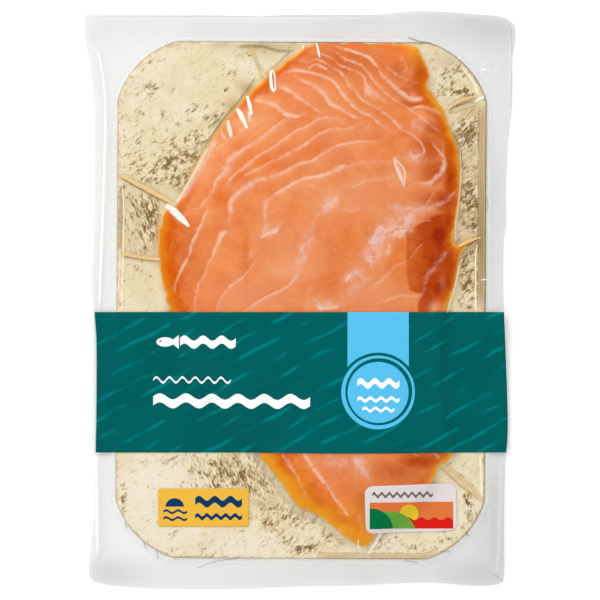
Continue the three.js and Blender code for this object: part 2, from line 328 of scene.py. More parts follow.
def weld_height(xy):
    """Height of the welded sheet's lower face beyond the board."""
    turn = from_hub(xy)[0]
    wave = 0.6 * np.sin(3 * turn + 0.8) + 0.4 * np.sin(7 * turn + 2.1)
    return WELD_UNDERSIDE + weld_share(xy) ** 1.6 * (EDGE_LIFT + EDGE_WAVE * wave)


def stack_rise(xy, depth):
    """How much higher the middle of the stack lies than its edge."""
    x, y = xy.T
    swell = 0.45 * np.sin(x / 15 + 1.1) * np.cos(y / 21) + 0.3 * np.sin((x + y) / 11)
    return (SALMON_RISE + swell) * (1 - np.exp(-np.maximum(depth, 0) / SALMON_SPREAD))


def lumps(xy, depth):
    """Low soft lumps of the flesh, which the tight film follows."""
    return (0.09 * noise(xy, 7, 21) + 0.05 * noise(xy, 3.2, 22) - 0.1) * smooth(0, 4, depth)


# How far the front film and the salmon under it lie below the solid's face.
FILM_BELOW = 0.04
SALMON_BELOW = 0.14


def film_height(xy, salmon_depth, board_depth):
    """Height of the front film."""
    climb = smooth(-TENT_WIDTH, EDGE_ROUND, salmon_depth)
    over = (FRONT_OVER_BOARD - FILM_BELOW + SALMON_EDGE * climb + stack_rise(xy, salmon_depth)
            + lumps(xy, salmon_depth))
    beside = weld_height(xy) + 0.7 * WELD_SHEET
    return over + (beside - over) * smooth(0.2, -1.4, board_depth)


def salmon_height(xy, depth):
    """Height of the salmon's upper face, rounded over at its edge."""
    round_over = 0.1 + 0.9 * np.sqrt(1 - (1 - np.clip(depth / EDGE_ROUND, 0, 1)) ** 2)
    return (FRONT_OVER_BOARD - SALMON_BELOW + (SALMON_EDGE - 0.05) * round_over
            + stack_rise(xy, depth) + lumps(xy, depth))


# ------------------------------------------------------------------ meshes


def piece(name, points, faces, attributes=None):
    """A mesh piece from points in millimetres, with one number per point for each attribute."""
    mesh = bpy.data.meshes.new(name)
    mesh.from_pydata((np.asarray(points) * MM).tolist(), [], faces)
    mesh.validate()
    for key, values in (attributes or {}).items():
        layer = mesh.attributes.new(key, "FLOAT", "POINT")
        layer.data.foreach_set("value", np.asarray(values, np.float32))
    mesh.polygons.foreach_set("use_smooth", np.ones(len(mesh.polygons), bool))
    made = bpy.data.objects.new(name, mesh)
    bpy.context.scene.collection.objects.link(made)
    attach(made, "root")
    return made


def grid_quads(rows, columns):
    """Quads of a grid of rows by columns points, facing up when columns run along +X."""
    index = np.arange(rows * columns).reshape(rows, columns)
    return np.stack([index[:-1, :-1], index[:-1, 1:], index[1:, 1:], index[1:, :-1]], -1)


def cut_grid(outline, step, coarse=None):
    """A square grid cut to an outline: its points, those of the border moved onto the outline, its
    quads, and the border's points in order. Between the two heights in coarse its rows lie three
    steps apart."""
    low, high = outline.min(0) - step, outline.max(0) + step
    xs, ys = np.arange(low[0], high[0], step), np.arange(low[1], high[1], step)
    if coarse:
        hidden = (ys > coarse[0]) & (ys < coarse[1])
        ys = ys[~hidden | (np.arange(len(ys)) % 3 == 0)]
    gx, gy = np.meshgrid(xs, ys)
    corners = np.stack([gx, gy], -1)
    centres = (corners[:-1, :-1] + corners[1:, 1:]).reshape(-1, 2) / 2
    kept = nearest(centres, outline)[2].reshape(len(ys) - 1, len(xs) - 1)
    for _ in range(4):
        a, b, c, d = kept[:-1, :-1], kept[:-1, 1:], kept[1:, :-1], kept[1:, 1:]
        pinch = (a & d & ~b & ~c) | (b & c & ~a & ~d)
        for part in (a, b, c, d):
            part |= pinch
    used, faces = np.unique(grid_quads(len(ys), len(xs))[kept], return_inverse=True)
    faces = faces.reshape(-1, 4)
    points = corners.reshape(-1, 2)[used]
    sides = np.stack([faces, np.roll(faces, -1, axis=1)], -1).reshape(-1, 2)
    both = set(map(tuple, sides.tolist()))
    after = {a: b for a, b in both if (b, a) not in both}
    border = [next(iter(after))]
    while after[border[-1]] != border[0]:
        border.append(after[border[-1]])
    fine = dense(outline, step / 4)
    for i in border:
        points[i] = fine[np.argmin(((fine - points[i]) ** 2).sum(1))]
    return points, faces, border


def slab(name, points, faces, border, top, bottom, attributes):
    """A closed body with a cut grid as its upper face and a flat underside."""
    upper = np.column_stack([points, top])
    lower = np.column_stack([points[border], np.full(len(border), bottom)])
    below = np.arange(len(border)) + len(points)
    walls = np.column_stack([np.roll(border, 1), np.roll(below, 1), below, border])
    solid = [*faces.tolist(), *walls.tolist(), below[::-1].tolist()]
    values = {key: np.concatenate([value, value[border]]) for key, value in attributes.items()}
    return piece(name, np.vstack([upper, lower]), solid, values)


def skin(name, points, faces, height, thickness):
    """A thin closed body with a height for each point of its upper face."""
    made = piece(name, np.column_stack([points, height]), faces.tolist())
    thicken = made.modifiers.new("thickness", "SOLIDIFY")
    thicken.thickness = thickness * MM
    thicken.offset = -1
    return made


# ------------------------------------------------------------------ materials

WHITE = (255, 255, 255)


def srgb(red, green, blue):
    """A colour as read off the photograph, from 0 to 255, as a shader colour."""
    parts = [c / 255 for c in (red, green, blue)]
    return (*[c / 12.92 if c <= 0.04045 else ((c + 0.055) / 1.055) ** 2.4 for c in parts], 1.0)


class Value:
    """A number or colour that a material finds at each point. Arithmetic on it adds math nodes."""

    def __init__(self, graph, socket):
        self.graph, self.socket = graph, socket

    def math(self, operation, *others):
        return self.graph.value("Math", dict(enumerate((self, *others))), operation=operation)

    def __add__(self, other):
        return self.math("ADD", other)

    def __sub__(self, other):
        return self.math("SUBTRACT", other)

    def __mul__(self, other):
        return self.math("MULTIPLY", other)

    def __abs__(self):
        return self.math("ABSOLUTE")

    def ramp(self, low, high):
        """0 at low, 1 at high, smooth between."""
        return self.graph.value("MapRange", {"Value": self, "From Min": low, "From Max": high},
                                interpolation_type="SMOOTHSTEP")

    def below(self, limit, soft=0.06):
        """1 where it stays below a limit, with a soft step."""
        if isinstance(limit, Value):
            return (self - limit).below(0.0, soft)
        return self.ramp(limit + soft, limit - soft)


def most(first, *others):
    """The largest of several values at each point."""
    for other in others:
        first = first.math("MAXIMUM", other)
    return first


class Graph:
    """A material's node tree, with short ways to add to it. Colours are given as read off the
    photograph, as (red, green, blue) from 0 to 255."""

    def __init__(self, name):
        self.material = bpy.data.materials.new(name)
        self.material.use_nodes = True
        self.tree = self.material.node_tree
        self.tree.nodes.clear()
        self.output = self.tree.nodes.new("ShaderNodeOutputMaterial")

    def feed(self, socket, value):
        if isinstance(value, Value):
            self.tree.links.new(value.socket, socket)
        elif socket.type == "RGBA":
            socket.default_value = srgb(*value)
        else:
            socket.default_value = value

    def node(self, kind, inputs, **settings):
        made = self.tree.nodes.new("ShaderNode" + kind)
        for key, value in settings.items():
            setattr(made, key, value)
        for key, value in inputs.items():
            self.feed(made.inputs[key], value)
        return made

    def value(self, kind, inputs, output=0, **settings):
        return Value(self, self.node(kind, inputs, **settings).outputs[output])

    def read(self, name):
        """The piece's attribute of a name."""
        return self.value("Attribute", {}, "Fac", attribute_name=name)

    def mix(self, factor, a, b):
        return self.value("Mix", {0: factor, 6: a, 7: b}, 2, data_type="RGBA")

    def coats(self, base, *coats):
        """A base colour under coats of other colours, each (how far it covers, colour)."""
        for cover, colour in coats:
            base = self.mix(cover, base, colour)
        return base

    def place(self, size=1.0, stretch=1.0, turn=0.0):
        """Object coordinates in units of a size in millimetres, with all that is drawn on them
        longer by stretch in the direction turn."""
        here = self.value("TexCoord", {}, "Object")
        return self.value("Mapping", {"Vector": here, "Rotation": (0, 0, turn), "Scale": (
            stretch * size * MM, size * MM, size * MM)}, vector_type="TEXTURE")

    def noise(self, size, detail=2.0, roughness=0.5, stretch=1.0, turn=0.0, distortion=0.0):
        """Noise from 0 to 1 with features of a size in millimetres."""
        return self.value("TexNoise", {
            "Vector": self.place(size, stretch, turn), "Scale": 1.0, "Detail": detail,
            "Roughness": roughness, "Distortion": distortion}, "Fac")

    def colours(self, value, *stops):
        """Colours (position, red, green, blue) along a value."""
        made = self.node("ValToRGB", {"Fac": value})
        marks = made.color_ramp.elements
        for at, *colour in stops:
            marks.new(at).color = srgb(*colour)
        marks.remove(marks[0])
        marks.remove(marks[-1])
        return Value(self, made.outputs["Color"])

    def bump(self, height, strength, distance):
        return self.value("Bump", {"Height": height, "Strength": strength, "Distance": distance * MM})

    def principled(self, **inputs):
        named = {key.replace("_", " "): value for key, value in inputs.items()}
        return self.value("BsdfPrincipled", named)

    def over_clear(self, cover, body, tint=WHITE):
        """A shader that covers a clear film."""
        clear = self.value("BsdfTransparent", {"Color": tint})
        return self.value("MixShader", {0: cover, 1: clear, 2: body})

    def finish(self, shader):
        self.feed(self.output.inputs["Surface"], shader)
        return self.material


# ------------------------------------------------------------------ the salmon

# Fat lines, each (strength, points with the line's width, all in photo pixels).
FAT_LINES = [
    (0.45, [(259, 119, 3), (251, 119, 4), (238, 134, 3.5), (230, 139, 3), (211, 154, 2)]),
    (0.9, [(252, 99, 2.5), (274, 107, 5), (288, 115, 4), (302, 117, 1.5)]),
    (0.75, [(296, 116, 2.5), (284, 120, 3), (267, 134, 3), (241, 152, 4), (228, 161, 6), (221, 177, 4),
            (216, 182, 2.5), (214, 189, 2.5), (210, 196, 2.5), (204, 201, 2.5), (200, 208, 2.5),
            (190, 209, 3), (184, 211, 4)]),
    (0.85, [(204, 207, 1.5), (206, 211, 2.5), (197, 235, 3), (192, 244, 3.5), (190, 252, 3),
            (177, 281, 2.5), (175, 297, 2)]),
    (0.8, [(275, 86, 2), (288, 91, 4), (322, 116, 1.5)]),
    (0.75, [(341, 119, 1.5), (335, 117.5, 2.5), (320, 119, 2.2), (310, 125, 2.2), (294, 132, 2.5),
            (278, 144, 2.5), (254, 159, 2.5), (242, 170, 2.5), (236, 173, 2.5), (223, 189, 3)]),
    (0.85, [(294, 78, 2), (308, 84, 3.5), (323, 95, 4), (330, 104, 3.5), (357, 120, 1.5),
            (360, 124, 1.5)]),
    (0.65, [(360, 124, 1.5), (347, 129, 1.8), (333, 129, 2), (313, 138, 2.5), (302, 147, 3.5),
            (286, 155, 3), (278, 160, 2.5), (262, 166.5, 2), (240, 180, 2), (235, 185, 2)]),
    (0.8, [(277, 77, 1.5), (286, 72, 2.5), (299, 71, 3.5), (330, 80.5, 2.5), (345, 99, 2.5),
            (361, 113, 2.5), (371, 118, 2), (384, 129, 2), (386, 134, 1.8)]),
    (0.6, [(307, 70, 2.5), (316, 65, 3), (330, 74, 2)]),
    (0.7, [(386, 134, 1.8), (380, 139, 2), (371, 141.5, 2), (358, 142, 2.2), (336, 147, 2.5),
            (312, 161, 3), (303, 163.5, 3.5), (270, 178, 4.5), (260, 179.5, 5), (234, 196, 5),
            (230, 204, 5), (231, 213, 4), (228, 223, 3.5), (230, 229, 3)]),
    (0.8, [(231, 229, 3), (223, 234, 4.5), (212, 256, 2.5), (207, 264, 2.5), (205, 275, 2.2),
            (199, 283, 2.2), (193, 312, 2)]),
    (0.65, [(254, 262, 1.5), (247, 272, 2), (223, 295, 2.2), (216, 312, 2)]),
    (0.8, [(298, 272, 2), (291, 284, 3), (266, 297, 2), (247, 308, 1.5)]),
    (0.35, [(175, 236, 1.5), (171, 251, 1.8), (170, 262, 2)]),
    (0.7, [(291, 60, 2), (309, 62.5, 2), (316, 59.5, 2), (331, 68, 2.5), (340, 73, 3.5), (350, 87.5, 3),
            (364, 103, 2.2), (380, 111, 2.2), (389, 118, 2.2), (401, 130, 2.5), (411, 135, 2.5),
            (423, 148, 2), (422.5, 154, 2), (418, 156, 2), (394, 157, 2)]),
    (0.4, [(394, 161, 2.5), (366, 162.5, 2.5), (348, 166.5, 2.5)]),
    (1, [(350, 166, 1.5), (340, 167.5, 3.5), (335, 170.5, 4.5), (321, 175.5, 3), (302, 179.5, 2.5),
            (271, 196.5, 3)]),
    (0.6, [(271, 196, 4), (266, 203, 5), (264, 218, 4), (266, 227, 3), (260, 240, 2)]),
    (1, [(260, 240, 1.5), (270, 233, 4), (275, 232, 4), (280, 227, 2)]),
    (0.6, [(304, 187, 1.5), (309, 186, 1.5), (315, 189, 1.8)]),
    (0.55, [(349, 190, 2), (366, 182, 3), (374, 182.5, 3), (393, 178.5, 2)]),
    (0.9, [(328, 206, 4), (336, 200.5, 4), (338, 197, 2)]),
    (0.4, [(328, 207, 2), (320, 214, 2), (312, 222, 2)]), (0.8, [(349, 212, 2), (357, 211, 2)]),
    (0.65, [(306, 53, 1.8), (323, 55, 2.2), (341, 66, 2.2), (359, 73.5, 2.5), (364, 78.5, 2.2),
            (366, 85, 2.5), (372, 91, 2.5), (379, 99.5, 2.5), (391, 107, 1.5)]),
    (0.6, [(364, 87, 3), (368, 93, 5), (372, 98, 3)]),
    (0.4, [(363, 92, 2), (369, 105, 2), (376, 108, 1.8), (384, 107, 1.5)]),
    (0.6, [(319, 47, 2), (336, 53, 2.5), (344, 59, 3), (361, 66, 2.8), (376, 84, 2.2), (390, 98, 2.2),
            (414, 113, 2), (446, 137.5, 4), (451, 142.5, 3)]),
    (0.85, [(330, 45.5, 2), (350, 50.5, 2.5), (369, 58, 3), (379, 70, 2.8), (383, 77, 3),
            (403, 94.5, 5), (415, 100, 5), (431, 94.5, 2)]),
    (0.5, [(384, 65, 3), (396, 75, 3), (421, 85, 1.5)]),
    (0.4, [(398, 55, 3), (403, 60, 4), (406, 69, 3), (401, 74, 2)]),
    (0.75, [(411, 109, 2), (421, 107, 2.5), (436, 111.5, 4), (443, 114.5, 3)]),
    (0.8, [(430, 141, 2.2), (442, 155.5, 3), (444, 163, 4), (441, 172.5, 5), (434.5, 178.5, 4.5),
            (430, 183, 4.5), (417, 182, 2)]),
    (0.5, [(458, 188.5, 2), (449, 198, 5.5), (430, 207.5, 3.5), (400, 208, 2.5)]),
    (0.4, [(432, 220, 2), (424, 221.5, 2), (418, 220.5, 2), (411, 222, 3)]),
    (0.4, [(435, 190, 1.3), (430, 199, 1.3), (424, 208, 1.3)]),
    (0.38, [(451, 245, 4), (430, 273, 7), (425, 283, 6), (422.5, 292.5, 4), (415, 295.5, 3),
            (400, 295, 3), (380, 301.5, 2)]),
    (0.5, [(427, 241, 1.5), (422.5, 244, 1.8), (405.5, 261, 2), (396, 266, 2.5), (381, 280.5, 2.2),
            (369, 287, 2)]),
    (0.6, [(382, 303, 1.8), (389, 300, 2), (399, 296.5, 1.8)]),
    (0.8, [(344.5, 282, 2.5), (348, 277, 3), (353.5, 272.5, 3)]),
    (1, [(316.5, 303.5, 4.5), (320.5, 308.5, 3.5), (340, 306.5, 2.5)]),
    (0.8, [(281, 451, 3), (292, 468, 3.5), (300, 481, 2.2), (308, 498, 2), (313.5, 504.5, 1.5)]),
    (1, [(302, 450, 2.5), (308, 461, 4), (351, 518.5, 3)]),
    (0.45, [(353, 458, 5), (366, 473.5, 5), (371, 483, 4)]), (0.5, [(359.5, 515, 2.5), (360.5, 523, 2)]),
    (0.5, [(432, 451, 3), (436, 455, 4), (441, 460, 3)]),
    (0.6, [(412, 452, 2), (416, 455, 2), (420, 456, 2)]),
    (0.8, [(409.5, 230.5, 2), (401, 232, 3), (393, 234.5, 3)]), (0.6, [(389, 255, 2.5), (386, 250, 2)])]

# Milky marbling, in the same form.
CLOUDS = [
    (1.4, [(420, 209, 7), (412, 214, 11), (402, 232, 10), (391, 239, 7)]),
    (1.2, [(386, 220, 6), (380, 229, 9), (370, 252, 11), (370, 263, 10), (374, 271, 6)]),
    (0.7, [(432, 205, 9), (412, 212, 16), (394, 224, 22), (380, 240, 22), (370, 258, 20),
            (352, 276, 12)]),
    (1, [(399, 228, 7), (408, 231, 7), (414, 228, 4)]),
    (0.9, [(384, 240, 5), (389, 249, 6), (383, 257, 5)]),
    (0.9, [(360, 270, 4), (350, 277, 7), (344, 283, 4)]),
    (0.6, [(440, 205, 8), (425, 209, 12), (405, 210, 12), (385, 209, 8)]),
    (0.5, [(372, 276, 8), (352, 290, 10), (344, 298, 6)]),
    (0.6, [(315, 224, 7), (309, 236, 11), (302, 259, 11), (298, 268, 10), (297, 278, 8)]),
    (0.7, [(262, 236, 10), (270, 232, 12), (280, 229, 8)]),
    (0.9, [(340, 198, 8), (332, 204, 12), (320, 214, 9)]),
    (0.5, [(408, 150, 10), (416, 158, 14), (410, 163, 10)]),
    (0.55, [(366, 84, 6), (370, 92, 10), (380, 100, 6)]),
    (0.45, [(340, 304, 10), (318, 305, 12), (300, 306, 8)]),
    (0.5, [(344, 284, 12), (356, 278, 16), (370, 272, 12)]),
    (0.6, [(350, 455, 10), (361, 466, 14), (369, 480, 10)]),
    (0.5, [(320, 456, 10), (335, 460, 16), (350, 464, 10)]),
    (0.4, [(236, 157, 8), (228, 166, 12), (222, 180, 7)]),
    (0.4, [(262, 181, 8), (240, 192, 10), (231, 208, 8)]),
    (0.4, [(408, 124, 8), (418, 127, 14), (424, 131, 8)]), (0.35, [(252, 249, 5), (252, 260, 5)])]

# A slice that lies deeper, as the corners of its outline in photo pixels.
DEEP_ZONE = [
    (405, 232), (413, 227), (426, 220), (441, 213), (455, 214), (457, 246), (452, 262), (450, 280),
    (446, 296), (438, 306), (427, 312), (417, 314), (417, 302), (422, 294), (416, 293), (409, 291),
    (406.5, 281), (405, 262)]

# Flesh of another colour, as soft spots in photo pixels: (x, y, half width, half height, strength).
DEEP_SPOTS = [
    (360, 502, 12, 16, 0.42), (449, 284, 5, 12, 1), (448, 222, 6, 16, 1), (421, 72, 8, 14, 0.75),
    (410, 62, 9, 12, 0.4), (345, 62, 62, 22, 0.36), (186, 250, 26, 52, 0.28), (419, 82, 10, 18, 0.5),
    (404, 92, 10, 7, 0.4), (412, 104, 16, 5, 0.5), (396, 70, 14, 14, 0.35), (436, 130, 16, 12, 0.5),
    (430, 148, 20, 18, 0.5), (450, 150, 7, 18, 0.75), (436, 172, 18, 16, 0.55), (451, 176, 8, 30, 0.95),
    (446, 202, 14, 14, 0.85), (428, 200, 16, 12, 0.4), (440, 238, 18, 22, 1.1), (434, 262, 16, 20, 0.9),
    (428, 284, 10, 14, 0.85), (438, 290, 10, 16, 1.05), (452, 268, 7, 16, 0.95), (426, 305, 8, 10, 0.8),
    (420, 461, 24, 9, 0.75), (440, 456, 14, 7, 0.6), (398, 470, 34, 16, 0.42), (330, 452, 40, 9, 0.25)]
ORANGE_SPOTS = [
    (198, 262, 18, 30, 0.35), (330, 60, 35, 14, 0.6), (222, 197, 12, 11, 1.1), (240, 178, 14, 9, 0.9),
    (262, 160, 16, 7, 0.8), (190, 190, 14, 14, 0.7), (178, 240, 26, 44, 0.8), (180, 285, 28, 36, 0.8),
    (246, 250, 5, 26, 0.8), (240, 228, 10, 12, 0.5), (350, 240, 11, 15, 0.75), (330, 281, 12, 14, 0.7),
    (294, 209, 10, 8, 0.7), (396, 62, 24, 18, 0.9), (345, 46, 40, 8, 1), (298, 64, 15, 3.5, 1.3),
    (278, 66, 16, 8, 1.1), (267, 84, 6, 3, 1.2), (320, 490, 16, 26, 0.8), (352, 508, 8, 12, 0.9),
    (400, 478, 40, 12, 0.8), (290, 460, 8, 8, 0.5), (412, 100, 16, 5, 0.6), (310, 150, 26, 8, 0.6),
    (255, 186, 20, 8, 0.6), (280, 166, 20, 6, 0.5), (380, 140, 20, 8, 0.4), (350, 220, 30, 10, 0.4),
    (372, 232, 14, 12, 0.7), (400, 246, 12, 12, 0.9), (336, 250, 16, 14, 0.4), (396, 262, 12, 20, 0.6),
    (404, 132, 8, 5, 0.6), (396, 122, 14, 6, 0.5), (250, 108, 12, 8, 0.6), (384, 112, 14, 8, 0.4),
    (404, 452, 24, 10, 0.7), (409, 258, 7, 26, 1), (338, 505, 22, 22, 0.8), (300, 470, 8, 20, 0.7),
    (420, 70, 14, 24, 0.8), (330, 472, 30, 14, 0.4)]
GOLD_SPOTS = [
    (360, 536, 8, 8, 1.05), (468, 246, 12, 6, 0.8), (368, 540, 12, 12, 0.9), (345, 512, 24, 16, 0.6),
    (300, 484, 12, 16, 0.8), (268, 462, 10, 14, 1), (282, 484, 12, 16, 1), (300, 500, 16, 14, 1),
    (322, 514, 18, 12, 1), (345, 530, 18, 12, 1), (366, 528, 14, 16, 0.9), (412, 52, 8, 14, 0.8),
    (436, 478, 6, 10, 0.7), (446, 462, 6, 8, 0.6)]
PINK_SPOTS = [
    (330, 162, 34, 18, 0.3), (290, 255, 50, 44, 0.5), (360, 200, 50, 24, 0.5), (250, 295, 46, 20, 0.7),
    (370, 296, 40, 16, 0.7), (350, 130, 40, 20, 0.35), (316, 94, 30, 16, 0.3), (345, 466, 26, 12, 0.55),
    (420, 130, 14, 14, 0.4), (432, 166, 8, 12, 0.4)]
PALE_SPOTS = [
    (358, 534, 8, 10, 0.35), (200, 160, 5, 12, 0.6), (184, 190, 6, 12, 0.6), (439, 307, 8, 5, 1),
    (248, 120, 22, 16, 0.4), (205, 165, 12, 18, 0.3), (443, 283, 3, 11, 0.12), (330, 200, 40, 20, 0.2),
    (214, 142, 12, 10, 0.5), (224, 126, 12, 8, 0.4), (286, 272, 16, 10, 0.4), (400, 178, 14, 10, 0.3)]

# The edge that dried and took the smoke: (x, y, width in pixels, orange, yellow) round the outline.
# The yellow is partly the edge's own colour and partly a painted glow of light through the thin flesh.
RIM = [
    (316, 43, 4, 0.3, 0), (370, 43, 4, 0.3, 0), (408, 44, 16, 0.5, 0.8), (417, 52, 14, 0.6, 1),
    (424, 64, 12, 0.9, 0.4), (428, 74, 12, 0.9, 0.2), (431, 90, 24, 1, 0.6), (437, 100, 22, 0.9, 1),
    (448, 120, 18, 0.9, 0.9), (458, 150, 15, 1, 0.8), (460, 185, 11, 0.6, 1.1), (457, 210, 12, 0.5, 1.2),
    (454, 230, 12, 0.5, 1.2), (461, 243, 12, 0.9, 1.1), (474, 240, 14, 0.6, 1.2),
    (461, 257, 10, 0.8, 0.5), (455, 280, 8, 0.6, 0.9), (448, 302, 14, 0.8, 1), (452, 453, 18, 0.5, 1),
    (436, 478, 15, 0.4, 1), (377, 534, 26, 0.7, 0.9), (358, 547, 30, 0.8, 0.9), (330, 526, 26, 1, 0.9),
    (306, 512, 30, 1, 0.9), (284, 488, 32, 1, 1), (260, 455, 34, 1, 1), (172, 312, 26, 0.9, 0.5),
    (160, 270, 28, 1, 0.4), (158, 238, 26, 1, 0.5), (163, 213, 24, 0.9, 0.4), (172, 208, 14, 0.8, 0.2),
    (188, 179, 10, 0.4, 0.1), (205, 151, 9, 0.2, 0.1), (226, 120, 9, 0.3, 0.2), (241, 98, 12, 0.6, 0.4),
    (256, 86, 15, 0.9, 0.9), (268, 72, 12, 0.9, 0.8), (285, 62, 10, 0.8, 0.7), (300, 52, 9, 0.8, 0.5)]

SALMON_STEP = 0.37                # between the grid's points
SALMON_UNDERSIDE = FRONT_OVER_BOARD - SALMON_BELOW
HIDDEN_ROWS = (BAND_BOTTOM + 1, BAND_TOP - 1)     # under the band, where a coarse grid will do


def rim_widths(share):
    """Width in millimetres, orange and yellow (partly painted glow) of the dried edge, at shares of the
    outline.
    """
    rim = np.array(RIM)
    at = nearest(place(rim[:, :2]), SALMON)[1]
    order = np.argsort(at)
    width, orange, yellow = [np.interp(share, at[order], row, period=1) for row in rim[order, 2:].T]
    return width * PIXEL, orange, yellow


def fat_in(xy):
    """How much fat there is at each point, and how strong the paler flesh on the fat lines' left
    and the painted shade in the hollow on their right are."""
    fat, tender, groove_shade = np.zeros((3, len(xy)))
    for strength, line in FAT_LINES:
        core, aside = stroke(xy, [(x, y, 1.15 * width + 0.25) for x, y, width in line])
        halo = 0.9 + 0.8 * PIXEL * np.mean([width for _, _, width in line])
        soft = np.exp(-(aside / halo) ** 2) * np.where(aside > 0, 1, 0.5)
        fat = np.maximum(fat, strength * core)
        tender = np.maximum(tender, strength * soft)
        # painted shade in the hollow on each fat line's right
        groove_shade = np.maximum(groove_shade, strength * np.where(aside < 0, np.exp(aside / 1.5), 0))
    return fat, tender, groove_shade


def make_salmon():
    points, faces, border = cut_grid(SALMON, SALMON_STEP, coarse=HIDDEN_ROWS)
    gap, share, inside = nearest(points, SALMON)
    depth = np.where(inside, gap, 0)
    wobble = [noise(points, 5, seed) * 0.25 + noise(points, 1.6, seed + 1) * 0.1 for seed in (31, 33)]
    here = points + np.column_stack(wobble)
    patchy = 0.85 + 0.3 * noise(points, 4, 35) + 0.25 * noise(points, 1.3, 36)
    fat, tender, groove_shade = fat_in(here)
    width, orange, yellow = rim_widths(share)
    depth_here = depth * (1 + 0.25 * noise(points, 4, 43) + 0.25 * noise(points, 1.2, 44))
    zone = smooth(-0.3, 0.6, depth_in(here, place(DEEP_ZONE)))
    zone = zone * (0.46 + 0.3 * smooth(*place([(408, 0), (430, 0)])[:, 0], points[:, 0]))
    attributes = {
        "fat": np.clip(fat * patchy, 0, 1),
        "tender": tender,
        "groove_shade": groove_shade,
        "cloud": strongest(here, CLOUDS, taper=0.3) * (1 + 0.5 * noise(points, 2.6, 37)),
        "rim": orange * smooth(1.0, 0.4, depth_here / width),
        # glow: the dried edge's yellow together with a painted glow of light through the thin flesh
        "glow": yellow * smooth(1.0, 0.1, depth_here / (0.45 * width)),
        # edge: a painted pale glow along the outermost edge of the flesh
        "edge": smooth(0.9, 0.2, depth_here) * smooth(94, 92.5, points[:, 1]),
        "deep": np.maximum(zone, blobs(here, DEEP_SPOTS)),
        "orange": blobs(here, ORANGE_SPOTS),
        "pink": blobs(here, PINK_SPOTS),
        "pale": blobs(here, PALE_SPOTS),
        "gold": blobs(here, GOLD_SPOTS),
    }
    top = salmon_height(points, depth) - 0.08 * fat * smooth(0.5, 2, depth)
    made = slab("salmon", points, faces, border, top, SALMON_UNDERSIDE, attributes)
    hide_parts("pouch")
    made.data.materials.append(salmon_material())


def salmon_material():
    g = Graph("salmon")
    broad, grain = g.noise(9, detail=3), g.noise(1.2, detail=4, roughness=0.6, stretch=1.8, turn=0.6)
    patches = g.noise(4, detail=4, roughness=0.6) * 0.7 - 0.35
    rim, groove_shade = g.read("rim"), g.read("groove_shade")
    # the deep red also darkens a little in the painted shade beside the fat lines
    deep = g.read("deep") * (patches + 1.0) * (groove_shade * 0.35 + 0.95)
    red = g.colours(deep, (0.2, 217, 120, 66), (0.5, 203, 92, 30), (0.75, 184, 66, 8),
                    (0.99, 158, 38, 0))
    calm = most(most(deep, rim) * -1.0 + 1.0, 0.1)
    threads = g.noise(2.0, detail=5, roughness=0.62, stretch=1.6, turn=0.8, distortion=1.0)
    wisps = g.noise(0.9, detail=4, roughness=0.65, distortion=1.5)
    threads = (abs(threads - 0.5).ramp(0.07, 0.0) + abs(wisps - 0.5).ramp(0.06, 0.0) * 0.8
               + g.noise(3, detail=3).ramp(0.45, 0.65))
    ragged = (grain - 0.5) * 0.7 + g.read("fat")
    flesh = g.mix((broad + patches * 0.5).ramp(0.35, 0.65), (230, 131, 72), (239, 147, 87))
    flesh = g.coats(
        flesh,
        (g.read("pink"), (233, 148, 108)),
        (g.read("tender") * 0.5, (241, 172, 134)),
        # painted shade in the hollow beside each fat line
        (groove_shade * 0.66, (227, 111, 38)),
        (g.read("orange") * 0.8, (228, 112, 34)),
        (deep.ramp(0.05, 0.4), red),
        (g.read("pale"), (244, 186, 140)),
        (grain.ramp(0.5, 0.78) * calm * 0.2, (246, 184, 146)),
        (grain.ramp(0.45, 0.2) * 0.25, (218, 98, 36)),
        (rim, (213, 91, 0)),
        (g.read("gold") * 0.85, (241, 152, 44)),
        # the rim's yellow with its painted glow, then a painted pale glow along the outermost edge
        (g.read("glow"), (238, 158, 28)),
        (g.read("edge") * 0.6, (238, 196, 110)),
        (g.read("cloud") * (threads * 0.62 + 0.08), (236, 192, 176)),
        (ragged.ramp(0.05, 1.0) * (rim * -0.5 + 0.84), (247, 200, 172)))
    relief = grain * 0.6 + g.noise(0.5, detail=2)
    return g.finish(g.principled(
        Base_Color=flesh, Roughness=0.5, Specular_IOR_Level=0.04, Normal=g.bump(relief, 0.3, 0.1)))
